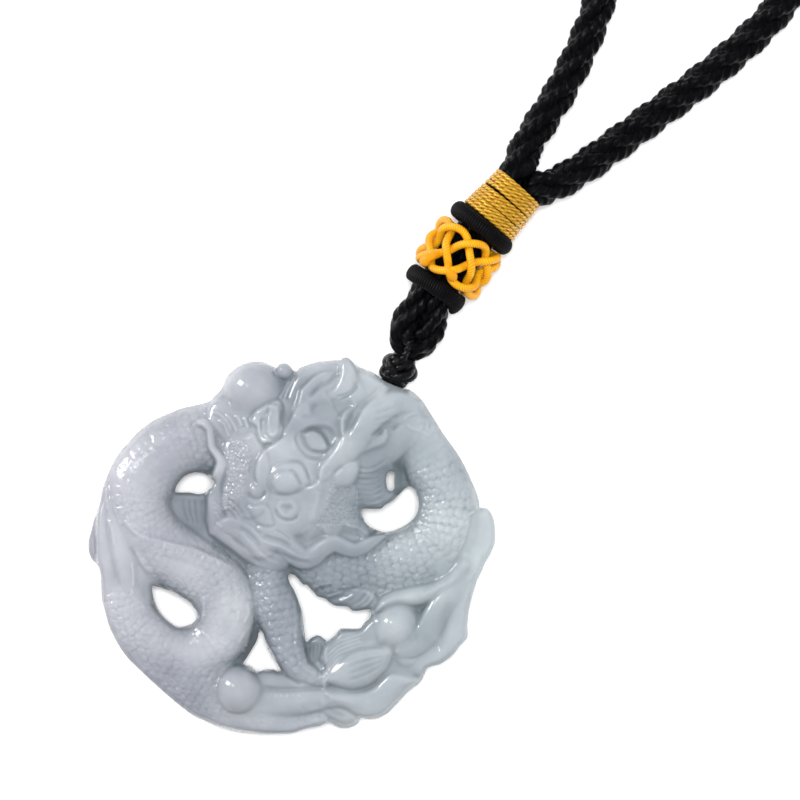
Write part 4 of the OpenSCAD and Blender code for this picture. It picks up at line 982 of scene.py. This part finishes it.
# Brow and muzzle: the face overlaps the ear and the cheek on its left, the nose lies in three
# folds, and the band of the right mane overlaps the muzzle
step(0.9, 2, [[-0.8, 16.5], [-1.4, 15.6], [-2.4, 14.8], [-3.6, 14], [-4.6, 12.7], [-5, 11.3],
              [-5, 10], [-4.5, 8.7], [-3.8, 7.6]])
swell(0.35, 1.6, [[-3.2, 8.8], [-2.8, 10.8], [-1.6, 11.9], [0.8, 12.1], [1.6, 11.7], [2.1, 11],
                  [2.7, 9.4], [1.8, 8.4], [0.4, 7.6], [-1.4, 7.4], [-2.6, 7.8]], groove=0.1)
swell(0.45, 1.6, [[-2.8, 9], [-2.2, 10.2], [-1.2, 10.8], [0.3, 10.7], [0.8, 10.1], [1.4, 8.9],
                  [0.8, 7.9], [-0.6, 7.5], [-2, 7.8]], groove=0.12)
cut(0.2, 0.25, [[-0.6, 12.15], [0.8, 12.15], [1.65, 11.75], [2.15, 11], [2.45, 10.2], [2.8, 9.2]],
    [[-0.4, 10.85], [0.3, 10.75], [0.85, 10.1], [1.2, 9.4], [1.6, 8.7]])
step(0.8, 1.3, [[6, 13.6], [4.9, 12.2], [4.3, 11.5], [4, 10.5], [3.9, 9.6], [3.2, 8.9], [2.4, 8.6],
                [1.4, 8.4]])
cut(0.5, 0.15, [[5.6, 11.6], [5.2, 10.4], [5, 9], [4.6, 7.6], [4, 6.6]])
cut(0.5, -0.25, [[3.2, 3.4], [3.3, 5], [3.8, 6.6], [4.2, 8]])
swell(0.2, 1.4, [[-2.2, 5.4], [-1.6, 6.6], [0.2, 6.8], [1.1, 6], [1, 4.8], [0, 4], [-1.3, 4.1]],
      groove=0.05)
swell(-0.45, 1, [[-1.9, 5.6], [-1.2, 6.4], [0.2, 6.3], [0.6, 5.4], [0, 4.6], [-1.1, 4.6]], groove=0)
cut(0.22, 0.3, [[-2.2, 5.8], [-1.95, 4.7], [-1.3, 4.1], [-0.4, 3.8], [0.5, 4], [1.2, 4.7]])
ball(-4.9, 8.1, 8.4, 1.05, fillet=0.8)
cut(0.24, 0.3, [[-6.2, 8], [-5.6, 7.1], [-4.7, 6.8], [-3.9, 7.3], [-3.6, 8.2]])
swell(0.3, 1.2, [[-6.3, 5.7], [-5.2, 6.1], [-3.8, 6.1], [-3, 5.6], [-2.5, 4.4], [-2.4, 3.2],
                 [-3.2, 2.9], [-4.4, 3.1], [-5.2, 3.8], [-5.7, 4.8]], groove=0.15)
swell(0.2, 0.4, [[-4.9, 2.7], [-4.6, 3.1], [-4.1, 3], [-3.9, 2.5], [-4.3, 2.2], [-4.7, 2.3]],
      groove=0.1)

# Strip at the left of the face, and the grains on the left cheek
block([[-10.9, 15.2, 6.3], [-10.2, 13, 6.7], [-9.8, 11.6, 6.8], [-10.3, 9.6, 6.9], [-10.6, 6, 6.9],
       [-8.4, 5, 6.9], [-7.6, 9, 7], [-8, 13.4, 6.8], [-9.4, 15, 6.4]], edge=0.5, fillet=1)
swell(0.12, 0.6, [[-9.6, 13.2], [-8.8, 14.6], [-7.4, 15.2], [-6, 14.8], [-5.6, 13], [-5.9, 10.6],
                  [-6.4, 9], [-6.6, 7.4], [-8, 5.6], [-9.6, 5.2], [-9.6, 8], [-9.2, 11]],
      kind=STIPPLE, groove=0)

# Eye under its lids
swell(-0.55, 0.9, [[0.6, 16.2], [0.6, 15], [1.2, 13.7], [2.1, 12.7], [3.4, 12.2], [4.5, 12.2],
                   [5.6, 12.8], [6.6, 14], [7, 15.6], [6.2, 17], [4.6, 17.6], [2.4, 17.4]],
      groove=0)
cut(0.22, 0.25, [[0.65, 16.2], [0.75, 15], [1.3, 13.9], [2.2, 12.9], [3.4, 12.45], [4.6, 12.5],
                 [5.8, 13.3]])
swell(0.35, 0.5, [[0.9, 16], [1, 15], [1.6, 13.8], [2.4, 13], [3.5, 12.7], [4.6, 12.8], [5.6, 13.4],
                  [5.9, 14.1], [5.5, 14.8], [5, 15.6], [4.3, 16.4], [3.2, 16.8], [2.2, 16.7]],
      groove=0.05)
swell(0.8, 1.6, [[1.7, 16], [2.6, 16.6], [3.4, 16.6], [4.3, 16.1], [5, 15.1], [5.4, 14.1],
                 [4.7, 13.5], [3.8, 13.5], [2.8, 13.8], [2, 14.9]], groove=0.3)
cut(0.2, 0.35, [[1.4, 16.2], [2.6, 16.75], [3.6, 16.7], [4.5, 16.2], [5.2, 15.2], [5.7, 14.1]])

# Ears, the curl behind the right horn, and the mane
swell(0.8, 0.9, [[-5.8, 17.7], [-5.6, 18.6], [-5.1, 19.3], [-4.4, 19.8], [-3.4, 20.4], [-2.4, 20.9],
                 [-1.6, 20.9], [-1.1, 19.9], [-1.1, 18], [-1.1, 16.6], [-1.8, 15.3], [-3.1, 14.6],
                 [-4.1, 14.7], [-4.6, 16], [-5, 17]])
swell(0.35, 0.5, [[-2.9, 20.4], [-3.3, 19], [-3.6, 17.4], [-3.3, 15.8], [-2.6, 15.4], [-1.8, 16],
                  [-1.5, 18], [-1.7, 20.2]], groove=0.2)
cut(0.3, 0.4, [[-3.9, 18.6], [-4.1, 17.4], [-4, 16.2], [-3.6, 15.5]])
cut(0.14, -0.28, [[-4.5, 18], [-4.6, 16.6], [-4.3, 15.3], [-3.7, 14.9], [-3.1, 15.6]],
    [[-3.1, 18.9], [-3.1, 16.9]])
block([[5.8, 9.8, 8.2], [6.2, 10.7, 8.5], [7.2, 11.6, 8.7], [8.2, 12.1, 8.7], [9.4, 12.4, 8.5],
       [9.8, 11.9, 8.4], [9.8, 11, 8.3], [9.5, 10, 8.2], [8.9, 9, 8.1], [8, 8.4, 8], [6.8, 8.3, 8],
       [5.9, 8.9, 8.1]], edge=0.8, bulge=0.3, fillet=0.6)
cut(0.14, -0.2, [[7.2, 11.2], [8.6, 11.9], [9.4, 11.6], [9.3, 10.2]])
cut(0.2, -0.16, [[16, 17.8], [16.6, 18.6], [17.7, 19], [19, 19], [19.9, 18.4]],
    [[16.3, 17.6], [17.1, 16.9], [18.3, 16.5], [19.2, 16.1], [20, 15.5]],
    [[18, 17.6], [18.5, 18], [19.2, 17.8], [19.4, 17.2], [18.9, 16.8]])
ridge([[-13, 17.6, 6.9, 0.45], [-12.3, 17.5, 7.4, 0.55], [-11.6, 16.8, 7.6, 0.5],
       [-11.4, 15.6, 7.7, 0.5], [-11.2, 14.2, 7.8, 0.5], [-10.3, 12.9, 8.1, 0.55],
       [-9.9, 11.8, 8.1, 0.65], [-10.4, 10.2, 8.1, 0.7], [-10.9, 8.6, 8, 0.8],
       [-10.9, 7, 7.8, 0.95], [-10.8, 5.4, 7.6, 1.1], [-10.8, 3.8, 7.3, 1.2],
       [-10.8, 2.4, 6.9, 0.9]], lean=-0.45, dome=0.6, fillet=0.3)
cut(0.14, -0.25, [[-11, 6.3], [-10.2, 5.8], [-9.6, 5.1]], [[-10.9, 5.6], [-10.3, 5.3], [-9.9, 4.7]],
    [[-10.8, 5], [-10.4, 4.5], [-10.1, 3.9]], [[-10.7, 3.5], [-10.2, 3.1], [-9.8, 2.6]])
hair(0.16, 0.25, 3, [[-9.2, 7], [-8.2, 6.4], [-7.2, 5.4], [-6.8, 4.6]],
     [[-9.2, 5.4], [-8.6, 5], [-8, 4.4], [-7.6, 3.8]])

# Hair lines in the recess under the upper left hole
hair(0.16, 0.16, 5, [[-15.4, 6.9], [-15.2, 5], [-14.4, 3.4]],
     [[-11.9, 6.9], [-11.9, 5], [-11.9, 2.6]])

# Chin hair and whisker, which flow from the lips to the right over the body
block([[-11.2, 2.6, 6.9], [-9, 4.4, 7.4], [-5.5, 3.6, 7.6], [-4, 2, 7.6], [-2.4, 2.4, 7.5],
       [-1, 1.8, 7.2], [0, 0.6, 7], [0.4, -0.6, 6.7], [0, -2.4, 6.2], [-1.4, -3.6, 5.8],
       [-3.6, -3.4, 6], [-6, -2.2, 6.4], [-8.4, -0.4, 6.7], [-10.8, 1.4, 6.8]],
      edge=0.7, fillet=0.8)
ridge([[-3.6, 2, 7.7, 1.5], [-1.6, 1.2, 7.6, 1.6], [0.1, -0.3, 7.4, 1.6], [1.5, -1.6, 7.1, 1.5],
       [3, -1.4, 7, 1.4], [4.4, -0.2, 7.1, 1.3], [6.2, 0.5, 7.2, 1.2], [8, -0.2, 7.1, 1.1],
       [9.4, -0.4, 7, 1], [10.8, 0.3, 7, 0.9], [12.2, 1.1, 6.8, 0.6], [13.2, 1.6, 6.4, 0.3]],
      lean=0.5, dome=0.45, fillet=0.5)
cut(0.7, 0.4, [[0.6, 2], [1.6, 0.8], [2.8, 0.6], [4, 1.6], [5, 2.2]],
    [[6.8, 2.4], [8, 1.7], [9, 1.3], [10, 1.8]])
step(0.4, 0.9, [[4, -1.2], [2, -1.4], [0.6, -0.9], [-1, 0.1], [-2.7, 0.6], [-4, 1.2], [-4.6, 1.9],
                [-5.5, 2.8], [-7, 3.5], [-9, 4]],
     [[-0.4, -2.6], [-2.4, -2], [-4, -1], [-5, 0.2], [-6, 1.2], [-7, 2.1], [-9.4, 3]])
cut(0.3, 0.25, [[-4, 1.7], [-2.7, 1.2], [-1.3, 0.8], [0.2, 0]],
    [[-8.6, 1.4], [-6.8, 0.2], [-5.4, -1.2], [-4.2, -2.6]],
    [[-3.6, -0.4], [-1.4, -1], [0.8, -1.9], [3, -2.2]])
cut(0.16, 0.15, [[-2.4, 2.5], [-0.9, 1.8], [0.1, 0.8]],
    [[-7.4, 2.9], [-6, 2], [-5, 1], [-4.2, -0.2]], [[-9.6, 2.2], [-8, 1.2], [-6.4, -0.4]])
cut(0.2, -0.2, [[7.4, 3.3], [8.7, 2.9], [9.7, 2.6], [10.6, 2], [11.4, 1.5]])


# Skin. Scales lie in staggered rows, each a low disc that rises to its free edge and overlaps the
# next; the cheeks are stippled with small grains. Where hands and polishing reach they are worn.
scale_kinds = {  # kind: spacing along and across, height
    FINE: (1.05, 1.0, 0.23), BEADS: (1.15, 1.1, 0.36), LEG: (1.15, 1.1, 0.38)}
worn = [  # place and size of each worn patch
    [-21, 10, 3.6], [-21.5, 14, 4], [-25.5, 9, 3], [-17, 12, 2.4], [-14, -14.5, 3.6],
    [-8, -11, 3.6], [22, -3, 2.6], [17, 17, 4.5], [-7, -24, 4.5], [-1, -25, 4], [-23.4, 0, 3.4],
    [-24.2, -4, 3], [4, -1, 3], [26.6, 1.5, 1.6], [1.4, -11, 1.4], [2.6, -18, 2.6], [15.5, 13, 3],
    [20, 14, 2.4], [-15.4, -2.6, 3]]


def lottery(*counts):
    """An even pseudo-random number from 0 to 1 for each set of whole numbers: the last digits of
    sin(12.9 a + 78.2 b + 37.7 c) times 43758.5."""
    mix = sum(k * c for k, c in zip((12.9898, 78.233, 37.719), counts))
    return np.abs(np.sin(mix) * 43758.5453) % 1


def scales(along, aside, pitch, across, tall):
    """Staggered scales: the highest of the discs within reach. A disc of radius R about its middle
    rises by tall (0.8 sqrt(1 - (d / R)^2) + 0.1 (1 + ahead / R)), ahead being towards its free
    edge. The lottery moves each a little from its place and makes it lower or higher."""
    radius = 0.62 * max(pitch, across)
    top = np.zeros(along.shape)
    first = np.floor(along / pitch)
    for back in (-1, 0, 1):
        row = first + back
        shift = (row % 2) / 2
        column = np.floor(aside / across + shift)
        for beside in (-1, 0, 1):
            middle = column + beside + 0.5
            ahead = along - (row + 0.35 + 0.3 * lottery(row, middle, 1)) * pitch
            side = aside - (middle - shift - 0.12 + 0.24 * lottery(row, middle, 2)) * across
            far = (ahead**2 + side**2) / radius**2
            luck = 0.75 + 0.5 * lottery(row, middle)
            disc = 0.8 * np.sqrt(np.clip(1 - far, 0, 1)) + 0.1 * (1 + ahead / radius)
            top = np.maximum(top, np.where(far < 1, tall * luck * disc, 0))
    return top


worn_off = 0.85  # how much of the skin's height is gone in the middle of a patch
wear = np.ones(gx.shape)
for x, y, r in worn:
    wear *= 1 - worn_off * np.exp(-((gx - x) ** 2 + (gy - y) ** 2) / (0.6 * r) ** 2 / 2)
for kind, (pitch, across, tall) in scale_kinds.items():
    part = skin_kind == kind
    fine[part] += (wear * scales(skin_along, skin_aside, pitch, across, tall))[part]

# Grains: one small mound in each square of a grid, moved off its middle by the lottery
grain_gap, grain_h = 0.42, 0.24
column, row = np.floor(gx / grain_gap), np.floor(gy / grain_gap)
x0 = gx / grain_gap - column - 0.3 - 0.4 * lottery(column, row, 1)
y0 = gy / grain_gap - row - 0.3 - 0.4 * lottery(column, row, 2)
grains = np.clip(1 - (x0**2 + y0**2) / 0.12, 0, None) * lottery(column, row, 3)
part = skin_kind == STIPPLE
fine[part] += grain_h * grains[part]

# Valleys between forms are hardly deeper than the carver's round burr reaches below the mean height
# about them
burr_reach = 0.4
burr_spares = 0.4  # how much of what lies deeper is kept
valley = polish(height, 60) - burr_reach
height = np.where(height < valley, valley + burr_spares * (height - valley), height)
height = polish(height, 1) + (fine + polish(fine, 1)) / 2


# Mesh of the stone. Squares of the grid that lie within its outline make the carved face. Those at
# the edge are drawn onto the outline, the sides lean in below, and the back is plain and flat.
side_rows = [[0.7, 0.1], [0, 0.5]]  # height of each ring of the sides, and how far it stands in
edge_reach = 3.0  # distances from the edges are needed up to this
weld = 0.002  # points nearer than this are one
# Clouds: patches where the stone's colour is lighter or darker. Some are clouds in the stone;
# others are painted light where the light falls and painted shade in recesses and on slopes turned
# from the light.
clouds_and_painted_light_at = [  # place, width, and how much lighter or darker the stone's colour is there
    [-23, 12, 8, 0.35], [-24, -9, 5, 0.5], [26.5, 1, 5, 0.65], [-16, -20, 5, -0.6],
    [-0.5, -10, 4.5, -0.9], [7.5, -4.5, 4.5, -1.5], [-14, 4.5, 3, -1.1], [4, 18, 5, -0.5],
    [11, 9, 4, -0.5], [6, 24, 4, 0.2], [12.5, 20.6, 3, 0.6], [-6, 23, 3.5, -0.4],
    [2.5, -15, 2.5, -0.6], [0, -2, 4, -0.4], [8.5, -17, 3.5, -0.45], [3, -24.5, 4, -0.6],
    [-7, -8.5, 3.5, 0.5]]


def edge_distance(rings):
    """For each point of the grid the distance from the nearest of some closed edges."""
    far = np.full(gx.shape, 3 * edge_reach)
    for ring in rings:
        part, _, d = near(np.vstack([ring, ring[:1]]), edge_reach)
        far[part] = np.minimum(far[part], np.abs(d))
    return far


rings_2d = [smooth_ring(outline, rim_steps)] + [smooth_ring(hole, line_steps) for hole in holes]
stone_mask = inside(rings_2d[0], gx, gy)
for ring in rings_2d[1:]:
    stone_mask &= ~inside(ring, gx, gy)
depth_in = edge_distance(rings_2d) * np.where(stone_mask, 1, -1)
share = np.clip(1 - depth_in / edge_r, 0, 1)
height = height - rim_drop * (1 - np.cos(share * np.pi / 2) ** 0.8)

# What the material reads at each point. The painted shade darkens the colour by how far each point
# lies below the mean height about it, over a wide and over a narrow reach, so that valleys and
# recesses are darker; it fades at the outer rim and is stronger round the holes. Grain is how much
# of its skin is unpolished. The cloud makes the stone lighter or darker: partly clouds in the
# stone, partly painted light and painted shade.
below_wide, below_narrow = polish(height, 500) - height, polish(height, 5) - height
painted_shade = 0.25 + 0.15 * below_wide + 1.1 * below_narrow
about_holes = np.exp(-(edge_distance(rings_2d[1:]) / 1.5) ** 2)
off_rim = np.clip(depth_in, 0, 1)
painted_shade = 0.2 + 0.3 * about_holes + (np.clip(painted_shade, 0, 1) - 0.2) * off_rim
grain = np.where(skin_kind > 0, wear, 0) * np.where(skin_kind == STIPPLE, 2, 1) * off_rim
cloud_and_painted_light = np.zeros(gx.shape)
for x, y, wide, lighter in clouds_and_painted_light_at:
    cloud_and_painted_light += lighter * np.exp(-((gx - x) ** 2 + (gy - y) ** 2) / wide**2)

# Points at the edge of the kept squares move onto the outline, along the slope of the distance
slope_y, slope_x = np.gradient(depth_in, carve_gap)
steep = np.hypot(slope_x, slope_y) + 1e-9
kept = depth_in > -carve_gap / 2
quads = kept[:-1, :-1] & kept[1:, :-1] & kept[:-1, 1:] & kept[1:, 1:]
touch = np.zeros(gx.shape, int)
for i, j in ((0, 0), (0, 1), (1, 0), (1, 1)):
    touch[i:touch.shape[0] - 1 + i, j:touch.shape[1] - 1 + j] += quads
at_edge = (touch > 0) & (touch < 4)
px = np.where(at_edge, gx - depth_in * slope_x / steep, gx)
py = np.where(at_edge, gy - depth_in * slope_y / steep, gy)
number = np.cumsum(touch.ravel() > 0).reshape(gx.shape) - 1
row, column = np.nonzero(quads)
faces = np.stack([number[row, column], number[row, column + 1], number[row + 1, column + 1],
                  number[row + 1, column]], 1)
used = touch > 0
mesh = bpy.data.meshes.new("carved_jade_dragon")
mesh.from_pydata(np.stack([px[used], py[used], height[used]], 1) * MM, [], faces)
for name, values in (("painted_shade", painted_shade), ("cloud_and_painted_light", cloud_and_painted_light), ("grain", grain)):
    mesh.attributes.new(name, "FLOAT", "POINT").data.foreach_set("value", values[used])

# The sides: the open edge is drawn out to each ring of side_rows in turn, leaning in along the
# slope of the smoothed distance, and the last ring is filled
bm = bmesh.new()
bm.from_mesh(mesh)
edges = [edge for edge in bm.edges if edge.is_boundary]
inward = {}
ey, ex = [slope[used] for slope in np.gradient(polish(depth_in, 16), carve_gap)]
for edge in edges:
    for vert in edge.verts:
        inward[vert] = Vector((ex[vert.index], ey[vert.index], 0)).normalized()
bm.verts.index_update()
last_in = 0.0
for z, stand_in in side_rows:
    made = bmesh.ops.extrude_edge_only(bm, edges=edges)["geom"]
    links = {}
    edges = [item for item in made if isinstance(item, bmesh.types.BMEdge)]
    for vert in [item for item in made if isinstance(item, bmesh.types.BMVert)]:
        below = min((v for e in vert.link_edges for v in [e.other_vert(vert)] if v in inward),
                    key=lambda v: (v.co - vert.co).length)
        links[vert] = inward[below]
        vert.co += inward[below] * (stand_in - last_in) * MM
        vert.co.z = z * MM
    inward, last_in = links, stand_in
bmesh.ops.triangle_fill(bm, use_beauty=False, edges=edges)
bmesh.ops.remove_doubles(bm, verts=bm.verts, dist=weld * MM)
bmesh.ops.recalc_face_normals(bm, faces=bm.faces)
bm.to_mesh(mesh)
bm.free()
mesh.polygons.foreach_set("use_smooth", np.ones(len(mesh.polygons), bool))
jade = bpy.data.objects.new("carved_jade_dragon", mesh)
bpy.context.scene.collection.objects.link(jade)

# Jadeite: a fine-grained, slightly translucent stone, here pale bluish grey with faint lavender at
# the lower left, a cooler green on the right and whiter clouds, polished to a wet gloss. Its colour
# is painted a greenish grey in the hollows and round the holes, as painted shade, and some of its
# lighter and darker clouds are painted light and painted shade.
tree = finish("polished pale jadeite", jade)
place = add(tree, "TexCoord", {}).outputs["Object"]
wisps = add(tree, "TexNoise", {"Vector": place, "Scale": 1 / (9 * MM), "Detail": 4.0}).outputs[0]
# Cloud: the stone's own clouds and, in places, painted light and painted shade
cloud_and_painted_light = add(tree, "Attribute", {}, attribute_name="cloud_and_painted_light").outputs["Fac"]
milky_and_painted_light = add(tree, "Math", {0: cloud_and_painted_light, 1: 0.35, 2: wisps}, operation="MULTIPLY_ADD").outputs[0]
colour = add(tree, "ValToRGB", {"Fac": milky_and_painted_light})
for stop, where, code in zip(colour.color_ramp.elements, (0.2, 0.8), ("#838890", "#b1b4b9")):
    stop.position, stop.color = where, linear(code)
axis = add(tree, "SeparateXYZ", {"Vector": place}).outputs
to_right = add(tree, "MapRange", {"Value": axis[0], "From Min": -20 * MM,
                                  "From Max": 20 * MM}).outputs[0]
tint = add(tree, "ValToRGB", {"Fac": to_right})
for stop, code in zip(tint.color_ramp.elements, ("#fffbfd", "#f5fbf9")):
    stop.color = linear(code)
tinted = add(tree, "Mix", {0: 1.0, 6: colour.outputs[0], 7: tint.outputs[0]}, data_type="RGBA",
             blend_type="MULTIPLY").outputs[2]
# Painted shade: the colour darkens, greenish, in hollows and valleys and round the holes
deep = add(tree, "Attribute", {}, attribute_name="painted_shade").outputs["Fac"]
shade = add(tree, "ValToRGB", {"Fac": deep})
for stop, where, code in zip(shade.color_ramp.elements, (0.1, 0.9), ("#ffffff", "#93a3a5")):
    stop.position, stop.color = where, linear(code)
shaded = add(tree, "Mix", {0: 1.0, 6: tinted, 7: shade.outputs[0]}, data_type="RGBA",
             blend_type="MULTIPLY").outputs[2]
grains = add(tree, "TexVoronoi", {"Vector": place, "Scale": 1 / (0.55 * MM)}).outputs["Distance"]
amount = add(tree, "Attribute", {}, attribute_name="grain").outputs["Fac"]
bump = add(tree, "Bump", {"Height": grains, "Strength": amount, "Distance": -0.1 * MM}).outputs[0]
jadeite = add(tree, "BsdfPrincipled", {
    "Base Color": shaded, "Roughness": 0.14, "IOR": 1.66, "Specular IOR Level": 0.4, "Normal": bump,
    "Subsurface Weight": 0.3, "Subsurface Radius": (1.0, 1.0, 1.0),
    "Subsurface Scale": 0.5 * MM})
add(tree, "OutputMaterial", {"Surface": jadeite.outputs[0]})
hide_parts("jade_dragon")
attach(jade, "root")


# Floor and light, as in a tabletop photograph: a plain pale floor, a large soft window low on the
# left, a weaker one on the right, a narrow strip over the left shoulder, a lamp over the table and
# a pale room all round.
floor_half = 3.0  # metres
floor_mesh = bpy.data.meshes.new("floor")
floor_mesh.from_pydata([(x * floor_half, y * floor_half, 0)
                        for x, y in ((-1, -1), (1, -1), (1, 1), (-1, 1))], [], [(0, 1, 2, 3)])
floor = bpy.data.objects.new("floor", floor_mesh)
bpy.context.scene.collection.objects.link(floor)
tree = finish("plain pale floor", floor)
paper = add(tree, "BsdfPrincipled", {"Base Color": linear("#f4f4f4"), "Roughness": 0.8})
add(tree, "OutputMaterial", {"Surface": paper.outputs[0]})
lights = [  # name, place in metres, width and height in metres, power in watts, mirrored or not
    ("window at the left", (-0.8, 0.5, 0.5), 0.24, 0.42, 5.8, True),
    ("window at the right", (0.9, 0.1, 0.35), 0.12, 0.3, 3.4, False),
    ("strip over the left shoulder", (-0.5, 0.42, 0.95), 0.03, 0.3, 0.6, True),
    ("lamp over the table", (0.03, 0.08, 1.3), 0.35, 0.35, 18.0, False)]
for name, spot, width, tall, power, mirrored in lights:
    lamp = bpy.data.lights.new(name, "AREA")
    lamp.shape = "RECTANGLE"
    lamp.size, lamp.size_y, lamp.energy = width, tall, power
    light = bpy.data.objects.new(name, lamp)
    light.location = spot
    light.rotation_euler = (-Vector(spot)).to_track_quat("-Z", "Y").to_euler()
    light.visible_glossy = mirrored
    bpy.context.scene.collection.objects.link(light)
world = bpy.data.worlds.new("pale room")
world.use_nodes = True
world.node_tree.nodes["Background"].inputs["Color"].default_value = (0.95, 0.97, 1.0, 1)
world.node_tree.nodes["Background"].inputs["Strength"].default_value = 0.32
bpy.context.scene.world = world
bpy.context.scene.view_settings.view_transform = "Standard"
